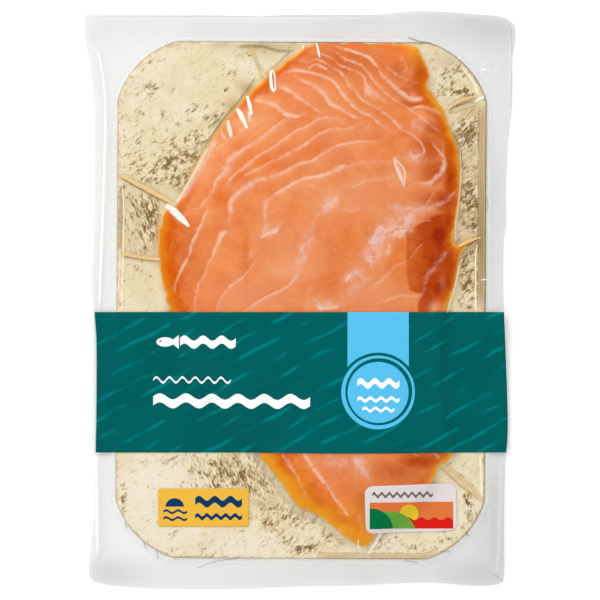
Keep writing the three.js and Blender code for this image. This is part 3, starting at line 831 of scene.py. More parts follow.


# ------------------------------------------------------------------ the gold board

# Where the crumpled foil shows dark flecks, which are painted reflections in the crumpled metal with
# painted highlights beside them: (x, y, half width, half height, density) in pixels.
FLECKS = [
    (236, 474, 48, 26, 0.85), (280, 516, 44, 20, 0.7), (305, 538, 44, 14, 0.6), (190, 148, 46, 32, 0.55),
    (138, 230, 22, 60, 0.5), (176, 172, 26, 18, 0.8), (467, 205, 16, 110, 0.6), (455, 84, 22, 24, 0.6),
    (148, 222, 10, 32, 1), (458, 92, 18, 6, 1.2), (464, 131, 13, 16, 1.2), (468, 196, 11, 20, 1.2),
    (205, 460, 50, 10, 0.6), (145, 150, 30, 26, 0.45), (400, 543, 60, 14, 0.25), (467, 500, 14, 40, 0.15),
    (215, 118, 14, 10, 0.8), (200, 110, 14, 8, 0.5), (224, 128, 9, 9, 0.6), (197, 141, 22, 9, 0.9),
    (212, 134, 11, 8, 0.7), (188, 157, 24, 10, 1.05), (170, 164, 18, 13, 1), (182, 179, 20, 10, 1),
    (150, 172, 16, 15, 0.8), (133, 166, 10, 13, 0.65), (150, 88, 10, 8, 0.65), (139, 113, 7, 7, 0.6),
    (160, 120, 20, 15, 0.3), (232, 74, 6, 4, 0.8), (224, 90, 7, 4, 0.75), (243, 57, 9, 6, 0.5),
    (135, 73, 9, 6, 0.5), (143, 58, 10, 7, 0.5), (133, 194, 11, 11, 0.6), (141, 205, 10, 15, 0.95),
    (152, 212, 9, 15, 0.95), (147, 233, 9, 18, 1.1), (140, 250, 10, 6, 0.7), (133, 272, 9, 9, 0.6),
    (147, 279, 7, 8, 0.6), (432, 62, 7, 5, 0.5), (441, 71, 10, 5, 0.95), (453, 66, 9, 4, 0.7),
    (441, 92, 10, 7, 0.9), (471, 92, 9, 5, 1.1), (455, 103, 10, 4, 0.5), (455, 112, 9, 7, 0.6),
    (472, 125, 9, 10, 1.1), (466, 141, 13, 7, 1.2), (463, 153, 9, 7, 0.65), (472, 158, 7, 6, 0.65),
    (469, 168, 11, 3, 0.9), (462, 161, 7, 7, 0.6), (468, 190, 13, 11, 1.05), (470, 205, 11, 8, 1.1),
    (474, 225, 6, 9, 1), (470, 256, 10, 9, 0.8), (467, 270, 13, 15, 1), (470, 286, 11, 13, 1),
    (466, 302, 13, 11, 0.8), (218, 463, 18, 12, 0.7), (214, 484, 8, 7, 1.1), (249, 464, 15, 13, 0.9),
    (259, 493, 15, 10, 0.85), (289, 515, 11, 8, 0.95), (268, 521, 12, 8, 0.75), (306, 529, 11, 7, 0.75),
    (302, 550, 14, 6, 1.1), (334, 540, 15, 11, 0.65), (469, 501, 6, 9, 0.9), (468, 520, 8, 13, 0.6),
    (445, 537, 8, 10, 0.6), (386, 540, 10, 15, 0.75), (421, 548, 11, 10, 0.5), (124, 500, 4, 16, 0.8)]
# Foil in shade where the film spans down beside the fish.
SHADE_SPOTS = [
    (474, 130, 6, 30, 0.9), (475, 205, 6, 36, 1.2), (474, 268, 6, 22, 0.9), (482, 235, 8, 60, 1),
    (270, 46, 38, 6, 0.75), (170, 44, 12, 4, 0.5), (222, 44, 14, 4, 0.6), (181, 188, 6, 8, 0.9),
    (188, 176, 6, 8, 0.9), (196, 164, 6, 8, 0.8), (204, 150, 6, 8, 0.6), (153, 225, 8, 30, 1.1),
    (145, 226, 9, 24, 0.9), (136, 226, 18, 44, 0.4), (188, 158, 12, 8, 1.15), (246, 88, 8, 8, 0.8),
    (232, 106, 8, 10, 0.7), (218, 126, 7, 10, 0.6), (464, 131, 12, 14, 0.5), (449, 62, 18, 14, 0.5),
    (458, 92, 16, 5, 0.5), (468, 205, 14, 105, 0.65), (456, 92, 20, 18, 0.3), (240, 470, 34, 18, 0.45),
    (262, 500, 24, 14, 0.4), (272, 50, 30, 7, 0.5), (180, 180, 22, 18, 0.4), (187, 170, 9, 9, 0.7),
    (196, 157, 8, 8, 0.6), (178, 186, 10, 6, 0.6), (128, 200, 10, 22, 0.4), (441, 95, 8, 8, 0.3),
    (469, 270, 12, 26, 1.05), (250, 468, 10, 8, 0.5)]

# Where the film bunches over the board's edge in a narrow fold, whose light and dark bands are painted
# on the foil, as (x, y, half width, half height, width of the fold, strength), all in photo pixels;
# then where the foil is paler.
EDGE_FOLDS = [(480, 206, 30, 109, 8.6, 1), (378, 556, 64, 14, 6.5, 0.75)]
CREAM_SPOTS = [
    (466, 172, 10, 5, 0.8), (464, 226, 10, 7, 0.8), (456, 110, 14, 5, 0.5), (140, 88, 30, 24, 0.35),
    (165, 505, 62, 60, 0.85), (240, 545, 50, 14, 0.6), (440, 60, 24, 16, 0.15), (470, 515, 14, 40, 0.4)]
# Where the film stands off beside the fish over a yellow-tan band of foil, where over painted grey
# shadow, and where the flecks run steeply.
CONTACT_SPOTS = [(222, 120, 46, 56, 1), (262, 76, 10, 12, 0.7), (168, 290, 12, 26, 0.4)]
BRIDGE_SPOTS = [(268, 472, 22, 26, 1), (300, 512, 34, 20, 0.75), (335, 535, 26, 16, 0.5)]
STEEP_SPOTS = [(145, 225, 26, 50, 1), (225, 480, 60, 46, 1), (350, 545, 60, 20, 0.5),
               (470, 520, 30, 40, 0.8), (200, 240, 60, 90, 0.3)]
BOARD_STEP = 0.8
BOARD_FACE = FRONT_OVER_BOARD - 0.16
BOARD_UNDERSIDE = 0.08


def make_board():
    points, faces, border = cut_grid(BOARD, BOARD_STEP)
    inset = depth_in(points, BOARD)
    fold, across = np.zeros(len(points)), np.full(len(points), 9.0)
    for x, y, half_width, half_height, width, strength in EDGE_FOLDS:
        reaches = np.abs((points - place((x, y))) / PIXEL / (half_width, half_height))
        here = reaches.max(1) < 1
        along = reaches[:, 1 if half_height > half_width else 0]
        fold[here] = strength * smooth(1, 0.8, along[here])
        across[here] = inset[here] / (width * PIXEL)
    crumple = 0.03 * noise(points, 2.1, 52) + 0.02 * noise(points, 1.2, 53)
    top = BOARD_FACE + crumple * smooth(0, 1.5, inset)
    attributes = {
        "flecks": np.maximum(blobs(points, FLECKS, power=4), 0.06 + 0.14 * noise(points, 9, 51)),
        "cream": blobs(points, CREAM_SPOTS, power=4),
        "shade": blobs(points, SHADE_SPOTS),
        "steep": blobs(points, STEEP_SPOTS),
        "beside": -depth_in(points, SALMON),
        "contact": blobs(points, CONTACT_SPOTS),
        "bridge": np.clip(blobs(points, BRIDGE_SPOTS) * 1.5, 0, 1),
        "inset": inset,
        # strength of the painted shade along the board's edge: more to the right and top, less to the
        # left and bottom
        "outline": np.clip(0.5 + points[:, 0] / 140 + points[:, 1] / 280, 0.3, 0.9),
        "fold": fold,
        "across": across,
    }
    made = slab("board", points, faces, border, top, BOARD_UNDERSIDE, attributes)
    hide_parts("pouch")
    made.data.materials.append(gold_material())


def gold_material():
    g = Graph("gold_foil")
    flecks, shade, beside = g.read("flecks"), g.read("shade"), g.read("beside")
    inset, across = g.read("inset"), g.read("across")
    emboss = g.noise(1.5, detail=4, roughness=0.65, distortion=0.5)
    specks = []
    for stretch, turn in ((1.5, 0.75), (1.6, 1.95)):
        coarse = g.noise(2.2, detail=4, roughness=0.7, stretch=stretch, turn=turn, distortion=0.6)
        grit = g.noise(0.62, detail=3, roughness=0.7, stretch=2 * stretch, turn=turn)
        specks.append((grit - 0.5) * 0.75 + coarse)
    speck = g.mix(g.read("steep").ramp(0.4, 0.55), *specks)
    over = speck - (flecks * -0.24 + 0.7)
    # a strip of painted grey shadow under the film where it stands off beside the fish
    strip = beside.below(speck * 3.0 + 1.6, 0.3) * g.read("bridge")
    shadow_grey = g.mix(speck.ramp(0.4, 0.6), (212, 200, 168), (168, 148, 108))
    streaks = g.noise(3, detail=3, stretch=6, turn=math.pi / 2) * 0.3 - 0.15
    tan = g.colours(
        across + streaks, (0.0, 122, 102, 70), (0.12, 192, 162, 112), (0.24, 224, 196, 148),
        (0.36, 196, 166, 116), (0.48, 216, 186, 136), (0.6, 190, 160, 108), (0.74, 222, 194, 142),
        (0.88, 186, 156, 106), (0.96, 136, 110, 66))
    folded = g.read("fold") * across.below(g.noise(1.2, detail=3) * 0.5 + 0.7, 0.08)
    # a tan band of uneven width along the board's edge
    tan_edge_band = inset.below(g.noise(2.5, detail=4, roughness=0.7) * 5.0 - 2.0, 0.4)
    # a dark line of painted shade just inside the board's edge
    edge = inset.below(g.noise(1.5, detail=2) * 0.5 + 0.02, 0.1)
    foil = g.mix(g.noise(12, detail=3).ramp(0.35, 0.65), (247, 235, 203), (241, 225, 184))
    foil = g.coats(
        foil,
        (g.read("cream"), (250, 240, 218)),
        # painted shade and highlights of the foil's fine crumples; the same noise also bumps the surface
        (emboss.ramp(0.52, 0.7) * 0.4, (228, 204, 156)),
        (emboss.ramp(0.42, 0.26) * 0.8, (253, 249, 232)),
        (shade * 0.8, (182, 150, 84)),
        # painted dark reflections in the crumpled foil, with a tan fringe
        (over.ramp(-0.1, 0.0) * 0.6, (208, 182, 130)),
        (over.ramp(0.0, 0.11) * 0.95, (130, 99, 44)),
        # painted highlights among the dark reflections
        (speck.ramp(0.5, 0.38) * flecks.ramp(0.3, 0.9) * 0.8, (251, 238, 202)),
        # painted grey shadow under the film beside the fish
        (strip * 0.85, shadow_grey),
        # a yellow-tan band on the foil right beside the fish
        (beside.below(1.4, 0.3) * g.read("contact") * 0.85, (214, 184, 112)),
        # painted light and dark bands of the film's fold over the board's edge
        (folded * 0.85, tan),
        (folded * shade * 0.4, (118, 90, 56)),
        (tan_edge_band * 0.6, (206, 168, 108)),
        # painted light on the foil next to the fish, left out where painted shade lies
        (beside.ramp(5.0, 0.0) * shade.ramp(0.8, 0.2) * 0.35, (255, 246, 214)),
        # painted shade along the board's edge
        (edge * g.read("outline"), (118, 98, 66)))
    relief = emboss * 0.6 - speck * 0.5
    return g.finish(g.principled(
        Base_Color=foil, Metallic=0.1, Roughness=0.42, Normal=g.bump(relief, 0.4, 0.25)))


# ------------------------------------------------------------------ the film

# Pleats where the film bunches up between the salmon and the board's edge, each (height in
# millimetres, strength, points with the pleat's width, in photo pixels).
PLEATS = [
    (0.6, 0.95, [(119, 174.5, 5), (170, 202, 7), (176, 206.5, 4)]),
    (0.45, 0.9, [(121, 253.5, 6), (148, 258.5, 5), (161, 259.5, 3)]),
    (0.4, 0.75, [(250, 46, 2), (258, 64, 3), (266, 79, 4)]),
    (0.5, 0.8, [(447, 110, 2), (455, 103.5, 5), (474, 96.5, 5), (477, 99, 2)]),
    (0.4, 0.5, [(452, 113, 2), (462, 108.5, 4), (477, 104, 2)]),
    (0.4, 0.9, [(458, 246.5, 3), (473, 240, 4), (481, 237.5, 2)]),
    (0.4, 0.4, [(440, 464, 6), (466, 485, 12), (483.5, 501, 5)]),
    (0.3, 0.4, [(446, 465, 1.6), (450, 460, 1.6), (461, 454.5, 1.6)])]

# Crisp lines on the front film, each (strength, warmth, points with the line's width in pixels):
# painted highlights in small bright windows of light, soft painted sheens, and the painted shade of
# dark creases.
GLINTS = [
    (0.92, 0, [(247.2, 95.5, 3), (251.2, 112, 4.6), (251.8, 116, 2.5)]),
    (0.5, 0, [(248.3, 111, 3), (249.6, 117, 3.6), (249.5, 121.5, 1.5)]),
    (0.9, 0.3, [(236.4, 108, 3), (239.5, 112.5, 7), (246.5, 127, 5), (247.2, 129.5, 3)]),
    (0.7, 0.3, [(228, 120, 3), (229, 127, 5.4), (231, 135, 5), (231.3, 138, 3)]),
    (0.25, 0, [(221, 131, 3), (224, 137, 4), (226.5, 141.5, 2)]),
    (0.85, 0.1, [(165.5, 204.5, 5), (171, 208.6, 9.5), (183.5, 220.6, 8), (189.5, 227, 3)]),
    (1, 0, [(316.2, 42.5, 1.8), (319, 54, 2.6), (319.9, 58.5, 1.2)]),
    (1, 0, [(270.5, 69, 2), (271.6, 87, 4), (274, 92, 3)]),
    (0.75, 0, [(271, 69, 2), (274.3, 74, 2.2), (275.7, 91, 2)]),
    (0.4, 0.3, [(394.5, 159, 2), (404.2, 172, 3), (403.5, 187, 2)]),
    (0.4, 0.3, [(394.5, 158, 2), (395, 166, 4), (403.5, 186, 2)]),
    (0.6, 0, [(303, 44, 1.2), (303.3, 49, 1.6)]), (0.6, 0, [(358, 539, 1.4), (358.6, 549, 1.6)]),
    (0.8, 1, [(119.5, 177, 1.4), (122.3, 190, 1.6), (123.5, 215, 1.8), (121.8, 312, 1.4)]),
    (0.9, 0.4, [(478, 242, 1.4), (476, 256, 1.8), (476, 313, 1.6)]),
    (0.7, 0.5, [(461, 65, 1.5), (475, 84, 3), (478.5, 95, 3)]),
    (0.75, 0.2, [(475, 102, 2), (480, 98.5, 4.5), (485, 96.5, 3)]),
    (0.6, 0, [(480, 69, 1), (483, 69, 2.4), (486.5, 69.5, 1)]), (0.5, 0, [(494, 70, 1), (498, 70.5, 2)]),
    (0.6, 0.6, [(480.5, 454, 3), (481.3, 474, 4), (482, 498, 3)]),
    (0.6, 0, [(457, 57.5, 1.5), (461, 57.5, 2.5)]),
    (0.8, 0, [(480.5, 280.3, 1.2), (484, 279.5, 2), (488, 279.2, 1.2)]),
    (0.4, 0.7, [(460, 141, 1.4), (460.6, 180, 2), (455, 232, 2.6), (457, 244, 1.6)]),
    (0.55, 0.7, [(464, 256, 1.4), (459, 267, 2.2), (456.5, 280, 2.2), (447, 313, 2)]),
    (0.75, 0, [(94, 42, 1.5), (99, 56, 2.5), (103.5, 84, 3), (105, 130, 3), (98.6, 311, 2)]),
    (0.75, 0, [(96, 453, 2), (96.5, 520, 2.5), (98, 556, 1.5)])]
SHEENS = [
    (0.55, 0.8, [(208, 148, 4), (197, 169, 6), (176, 204, 5)]),
    (0.4, 0.9, [(217, 140, 8), (206, 157, 13), (192, 182, 13), (182, 199, 8)]),
    (0.35, 0.3, [(393, 158, 3), (396, 166, 8), (401, 178, 8), (404, 188, 3)]),
    (0.7, 0.3, [(381, 532, 3), (377, 541, 6), (371, 550, 6), (368, 555, 3)]),
    (0.3, 0, [(94, 42, 4), (99, 56, 6), (103.5, 84, 7), (105, 130, 7), (98.5, 311, 7)]),
    (0.3, 0, [(96, 453, 7), (96.5, 520, 8), (96, 560, 6)])]
# Dark lines of painted shade where the film creases.
CREASE_SHADES = [
    (0.32, 1, [(238, 46, 3), (262, 46, 4), (276, 50, 3.5), (294, 50.5, 3)]),
    (0.28, 1, [(290, 51, 3), (279, 62, 4), (266, 74, 3)]),
    (0.45, 1, [(256.5, 75.5, 2), (244.4, 93.2, 3), (219.6, 124.4, 3), (203.6, 148.4, 2)]),
    (0.3, 1, [(203.6, 148.4, 1.4), (198, 157, 1.4), (184, 181, 1.4)]),
    (0.7, 1, [(452, 130, 1.2), (460.6, 149, 1.8), (461.5, 163, 1.2)]),
    (0.7, 1, [(466, 247.5, 1.4), (472, 243, 1.8), (479, 238.6, 1.4)]),
    (0.5, 1, [(449, 110.5, 1.2), (458, 105.5, 1.6), (474, 101, 1)]),
    (0.25, 0, [(86, 18, 1.2), (110, 16.8, 1.4), (390, 15.5, 1.2)]),
    (0.3, 0, [(506, 22, 1.2), (511.5, 31, 1.4), (511, 110, 1.2)]),
    (0.35, 0, [(195, 569, 1.4), (215, 562, 1.6), (240, 558, 1.4)]),
    (0.5, 0, [(124, 522, 1.4), (127, 529, 1.4)]), (0.5, 0, [(143, 541, 1.4), (146, 549, 1.4)]),
    (0.5, 0, [(156, 550, 1.4), (158, 560, 1.4)]), (0.4, 0, [(174, 556, 1.4), (176, 561, 1.4)]),
    (0.4, 0, [(440, 552, 1.4), (451, 552, 1.4)]),
    (0.7, 0, [(408, 37, 1.4), (420, 41, 1.6), (432, 43, 1.4)]),
    (0.4, 0, [(493, 573, 1.2), (502, 580.5, 1.4)]),
    (0.25, 1, [(120, 184, 3), (120.5, 210, 6), (119.5, 250, 4)]),
    (0.5, 0, [(403, 561, 1.2), (418, 563, 1.2)]), (0.6, 0, [(466.5, 531, 1.4), (468, 537, 1.4)]),
    (0.4, 0, [(486.5, 196, 1.2), (488, 204, 1.4), (487.5, 212, 1)])]

# Long soft folds in the weld, each (strength, line with its width), which lift the film a little and
# carry a painted white sheen.
FOLDS = [
    (0.5, [(91, 46, 3), (96, 70, 3), (98, 100, 3)]), (0.5, [(85, 33, 2), (100, 22, 2)]),
    (0.35, [(490, 502, 3), (489, 535, 4), (488, 565, 3)]),
    (0.6, [(500, 455, 3), (500.5, 500, 4), (497, 580, 3)]), (0.4, [(511, 30, 2), (510, 110, 2)]),
    (0.5, [(460, 60, 5), (470, 68, 6), (477, 80, 4)]), (0.4, [(505, 240, 3), (490, 255, 3)]),
    (0.4, [(450, 545, 2), (462, 556, 2)]), (0.35, [(488, 462, 4), (492, 474, 6), (492, 486, 3)])]

# Painted shade where the weld looks greyer, as soft spots.
GREY_SPOTS = [
    (108, 574, 46, 16, 0.4), (300, 575, 280, 18, 0.17), (280, 26, 250, 18, 0.13), (490, 20, 60, 30, 0.4),
    (503, 250, 22, 150, 0.2), (503, 530, 30, 70, 0.45), (490, 578, 60, 25, 0.4)]

FRONT_COLUMNS, FRONT_ROWS = 268, 364
BACK_COLUMNS, BACK_ROWS = 120, 160
BACK_HEIGHT = 0.03                # of the back film under the board


def greyness(xy):
    """How much the weld darkens what lies behind it: grey haze, more outwards, with painted shade
    that deepens towards the right and in spots.
    """
    # painted shade that deepens towards the right
    rightward_shade = 0.16 * smooth(-50, 75, xy[:, 0])
    mottled = blobs(xy, GREY_SPOTS) + 0.05 * noise(xy, 12, 62)
    return np.clip(0.05 + 0.22 * weld_share(xy) + rightward_shade + mottled, 0, 1)


def pouch_grid(columns, rows):
    """Points that fill the pouch's outline, in rows that bend with its edges."""
    left, right = resample(EDGES["left"], rows), resample(EDGES["right"], rows)
    bottom, top = resample(EDGES["bottom"], columns), resample(EDGES["top"], columns)
    u = np.linspace(0, 1, columns)[None, :, None]
    v = np.linspace(0, 1, rows)[:, None, None]
    sides = (1 - u) * left[:, None] + u * right[:, None]
    ends = (1 - v) * bottom[None] + v * top[None]
    corners = ((1 - u) * (1 - v) * bottom[0] + u * (1 - v) * bottom[-1]
               + (1 - u) * v * top[0] + u * v * top[-1])
    return (sides + ends - corners).reshape(-1, 2)


def front_film(points):
    """Height of the front film, and how far it belongs to the weld and to folds."""
    salmon_depth, board_depth = depth_in(points, SALMON), depth_in(points, BOARD)
    height = film_height(points, salmon_depth, board_depth)
    weld = smooth(0.1, -0.5, board_depth)
    for rise, _, line in PLEATS:
        height = height + rise * stroke(points, line)[0] * smooth(0.6, -0.4, salmon_depth)
    folds = strongest(points, FOLDS) * weld
    height = height + 0.35 * folds + 0.05 * weld * noise(points, 4, 61)
    return height, weld, folds


def make_film_front():
    points = pouch_grid(FRONT_COLUMNS, FRONT_ROWS)
    height, weld, folds = front_film(points)
    # skirt: a painted pale sheen just outside the board, lifting the board's shadow seen through the film
    skirt = smooth(-3, -0.5, depth_in(points, BOARD)) * weld
    attributes = {"weld": weld, "grey": greyness(points), "fold": folds, "skirt": skirt}
    made = piece("film_front", np.column_stack([points, height]),
                 grid_quads(FRONT_ROWS, FRONT_COLUMNS).reshape(-1, 4).tolist(), attributes)
    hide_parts("pouch")
    made.data.materials.append(film_material("film_front", 1.0))


def make_film_back():
    points = pouch_grid(BACK_COLUMNS, BACK_ROWS)
    board_depth = depth_in(points, BOARD)
    beside = weld_height(points) + 0.3 * WELD_SHEET
    height = BACK_HEIGHT + (beside - BACK_HEIGHT) * smooth(0.2, -1.8, board_depth)
    attributes = {"weld": smooth(0.1, -0.5, board_depth), "grey": greyness(points),
                  "fold": np.zeros(len(points)), "skirt": np.zeros(len(points))}
    quads = grid_quads(BACK_ROWS, BACK_COLUMNS).reshape(-1, 4)[:, ::-1]
    made = piece("film_back", np.column_stack([points, height]), quads.tolist(), attributes)
    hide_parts("pouch")
    made.data.materials.append(film_material("film_back", 0.6))


def film_material(name, haze):
    g = Graph(name)
    weld, fold, skirt = g.read("weld"), g.read("fold"), g.read("skirt")
    soft, fine = g.noise(9, detail=3), g.noise(1.4, detail=3, roughness=0.6)
    tint = g.mix(weld, (254, 254, 254), g.mix(g.read("grey"), (250, 250, 250), (234, 235, 234)))
    # the weld's milky grey haze, turned to a painted white sheen on the folds and on the skirt
    milk_and_sheen = g.mix(most(fold, skirt), (222, 222, 221), (255, 254, 252))
    veil = most(weld * (soft * 0.03 + 0.01 * haze), fold * 0.55, skirt * 0.35)
    relief = g.bump(fine + soft, 0.12, 0.15)
    sheet = g.over_clear(veil, g.value("BsdfDiffuse", {"Color": milk_and_sheen, "Normal": relief}), tint)
    gloss = g.value("BsdfGlossy", {"Color": WHITE, "Roughness": 0.12, "Normal": relief})
    slant = g.value("LayerWeight", {"Blend": 0.5, "Normal": relief}, "Facing")
    shine = slant.math("POWER", 5.0) * 0.5 + 0.002
    return g.finish(g.value("MixShader", {0: shine, 1: sheet, 2: gloss}))


LINE_LIFT = 0.2                   # how far crisp lines lie above the film, clear of the prints


def make_lines(name, lines, material):
    """Thin strips along lines on the front film, each (strength, warmth, line), as one piece."""
    points, quads, marks = [], [], []
    across = np.array([1, 0.5, 0, -0.5, -1])
    for strength, warmth, pixels in lines:
        pixels = np.asarray(pixels, float)
        line = spline(place(pixels[:, :2]), step=0.5)
        share = np.linspace(0, 1, len(line))
        width = np.interp(share, np.linspace(0, 1, len(pixels)), pixels[:, 2]) * PIXEL
        along = np.gradient(line, axis=0)
        aside = np.column_stack([-along[:, 1], along[:, 0]]) / np.linalg.norm(along, axis=1)[:, None]
        aside = (aside * width[:, None] / 2)[:, None] * across[:, None]
        quads.append(grid_quads(len(line), len(across)).reshape(-1, 4) + sum(map(len, points)))
        points.append((line[:, None] + aside).reshape(-1, 2))
        fade = strength * smooth(0, 0.06, share) * smooth(1, 0.94, share)
        marks.append(np.column_stack([np.tile(across, len(line)), np.repeat(fade, len(across)),
                                      np.full(len(points[-1]), warmth)]))
    points, marks = np.vstack(points), np.vstack(marks)
    made = piece(name, np.column_stack([points, front_film(points)[0] + LINE_LIFT]),
                 np.vstack(quads).tolist(), dict(zip(("aside", "strength", "warmth"), marks.T)))
    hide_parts("pouch")
    made.data.materials.append(material)


def line_material(name, cool, warm, edge=0.55):
    """Soft-edged painted lines on the film, with a faint painted glow."""
    g = Graph(name)
    colour = g.mix(g.read("warmth"), cool, warm)
    patchy = g.noise(1.5, detail=2) * 0.5 + 0.7
    cover = abs(g.read("aside")).ramp(1.0, edge) * g.read("strength") * patchy
    # a faint painted glow keeps the lines bright
    body = g.principled(Base_Color=colour, Roughness=0.8, Specular_IOR_Level=0.0,
                        Emission_Color=colour, Emission_Strength=0.1)
    return g.finish(g.over_clear(cover.math("MINIMUM", 1.0), body))


def pleat_material():
    """Straw-coloured bars of fine lines, brown along both sides: painted highlights and shade of the
    film's pleats.
    """
    g = Graph("film_pleats")
    aside = g.read("aside")
    colour = g.colours(
        aside * -0.5 + (g.noise(2.0, detail=3) * 0.3 + 0.35),
        (0.0, 166, 124, 56), (0.12, 222, 188, 126), (0.28, 242, 220, 168), (0.4, 208, 170, 106),
        (0.54, 245, 226, 178), (0.74, 224, 188, 124), (0.88, 180, 138, 70), (0.99, 150, 108, 46))
    cover = abs(aside).ramp(1.0, 0.8) * g.read("strength")
    return g.finish(g.over_clear(cover, g.value("BsdfDiffuse", {"Color": colour})))


# ------------------------------------------------------------------ the prints

PRINT_LIFT = 0.15                 # how far a print's face lies above the film
PRINT_THICKNESS = 0.1
BAND_COLUMNS, BAND_ROWS = 200, 66
PANEL_STEP = 0.45


def print_piece(name, node, points, faces, material):
    made = skin(name, points, faces, front_film(points)[0] + PRINT_LIFT, PRINT_THICKNESS)
    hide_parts(node)
    made.data.materials.append(material)


def make_band():
    y = np.linspace(BAND_BOTTOM, BAND_TOP, BAND_ROWS)
    left, right = [np.interp(y, EDGES[side][:, 1], EDGES[side][:, 0]) for side in ("left", "right")]
    u = np.linspace(0, 1, BAND_COLUMNS)
    x = (left + BAND_INSET)[:, None] * (1 - u) + right[:, None] * u
    points = np.column_stack([x.ravel(), np.repeat(y, BAND_COLUMNS)])
    quads = grid_quads(BAND_ROWS, BAND_COLUMNS).reshape(-1, 4)
    print_piece("band_print", "band", points, quads, band_material())


def rounded_rectangle(x, y, width, height, corner, turn):
    points = []
    for sign_x, sign_y, start in ((1, 1, 0), (-1, 1, 90), (-1, -1, 180), (1, -1, 270)):
        for a in np.radians(np.linspace(start, start + 90, 7)):
            points.append((sign_x * (width / 2 - corner) + corner * math.cos(a),
                           sign_y * (height / 2 - corner) + corner * math.sin(a)))
    return turned(points, math.radians(turn)) + (x, y)


def make_panel(name, node, panel, material):
    points, faces, _ = cut_grid(rounded_rectangle(*panel), PANEL_STEP)
    print_piece(name, node, points, faces, material)


class Print(Graph):
    """A printed surface, on which shapes are laid out in photo pixels."""

    def __init__(self, name):
        super().__init__(name)
        here = self.node("SeparateXYZ", {"Vector": self.place()})
        self.x, self.y = Value(self, here.outputs["X"]), Value(self, here.outputs["Y"])

    def box(self, left, right, top, low):
        """1 inside an upright rectangle."""
        (left, top), (right, low) = place([(left, top), (right, low)])
        aside, over = abs(self.x - (left + right) / 2), abs(self.y - (low + top) / 2)
        return aside.below((right - left) / 2) * over.below((top - low) / 2)

    def distance(self, x, y, squash=1.0):
        """Distance in millimetres from a place, with Y counted squash times."""
        centre = place((x, y))
        aside, over = self.x - centre[0], (self.y - centre[1]) * squash
        return (aside * aside + over * over).math("SQRT")

    def disc(self, x, y, radius):
        return self.distance(x, y).below(radius * PIXEL)

    def outside(self, x, y, radius):
        return (self.distance(x, y) * -1.0).below(-radius * PIXEL)

    def wave(self, left, right, level, swing, length, thickness):
        """1 inside a wavy line."""
        start, middle = place((left, level))
        crest = ((self.x - start) * (2 * math.pi / length / PIXEL)).math("SINE") * (swing * PIXEL)
        gap = abs(self.y - (crest + middle))
        return gap.below(thickness / 2 * PIXEL) * self.box(left, right, level - 50, level + 50)

    def fish(self, x, y, length):
        """1 inside a plain fish that swims to the left."""
        size, middle = length * PIXEL, place((x, y))
        body = self.distance(x, y, 1.9).below(0.36 * size)
        behind, spread = self.x - (middle[0] + 0.22 * size), abs(self.y - middle[1])
        tail = spread.below(behind * 0.8 + 0.12) * behind.below(0.34 * size)
        tail = tail * (behind * -1.0).below(0.0)
        eye = self.distance(x - 0.2 * length, y - 0.03 * length).below(0.35)
        return most(body, tail) - eye

    def ink(self, colour):
        """Finishes with a pattern of colours under the film's satin gloss."""
        return self.finish(self.principled(
            Base_Color=colour, Roughness=0.4, Specular_IOR_Level=0.02,
            Normal=self.bump(self.noise(0.8, detail=2), 0.08, 0.1)))


RIBBON = (347.3, 408.4, 312, 372)     # left, right, top and lower end in photo pixels
DISC = (377.8, 392)
DISC_RADII = (30.4, 33.4, 36.7, 39.6)     # the disc, the ring's two sides, and the ribbon's end
RING_SHIFT = 0.683                # how far the ring's inner side lies off the disc's centre
FISH = (165, 342, 24.6)           # centre and length

# White wavy lines on the band: (left, right, level, swing, wave length, thickness) in pixels.
BAND_WAVES = [(180, 236, 342, 2.6, 18.7, 8.0), (153, 231, 380, 2.6, 13.0, 2.2),
              (153, 310, 401, 3.0, 26.2, 9.0), (357, 399, 383, 2.4, 14.0, 6.0),
              (357, 399, 399, 1.6, 10.5, 3.4), (362, 394, 409, 1.6, 10.5, 3.0)]
LEFT_WAVES = [(163, 187, 512, 1.3, 12, 2.4), (163, 187, 519, 1.3, 12, 2.4),
              (195, 242, 502, 2.4, 15.7, 7.0), (195, 242, 517, 1.6, 9.4, 4.0)]


def band_material():
    g = Print("band_print")
    teal = g.mix(g.noise(20), (0, 88, 86), (0, 102, 102))
    strokes = g.value("TexWave", {"Vector": g.place(19.0, turn=0.5), "Scale": 1.0, "Distortion": 2.4,
                                  "Detail": 2.0, "Detail Scale": 0.8}, 1, bands_direction="Y")
    patches = g.noise(5.0, detail=2, stretch=2.6, turn=0.5).ramp(0.44, 0.62)
    disc, inner, outer, end = DISC_RADII
    ring = g.disc(*DISC, outer) * g.outside(DISC[0] + RING_SHIFT, DISC[1] - RING_SHIFT, inner)
    ribbon = g.box(*RIBBON) * g.outside(*DISC, end)
    white = most(g.fish(*FISH), *[g.wave(*wave) for wave in BAND_WAVES])
    return g.ink(g.coats(
        teal,
        (strokes.ramp(0.8, 0.99) * patches * 0.75, (0, 132, 136)),
        (most(ring, ribbon, g.disc(*DISC, disc)), (89, 197, 243)),
        (white, WHITE)))


def left_material():
    """A yellow panel with a low sun and lines of waves."""
    g = Print("left_print")
    yellow = g.mix(g.noise(6), (240, 185, 61), (242, 190, 70))
    sun = g.disc(174.5, 508, 9.5) * g.box(160, 190, 495, 507)
    return g.ink(g.mix(most(sun, *[g.wave(*wave) for wave in LEFT_WAVES]), yellow, (13, 58, 102)))


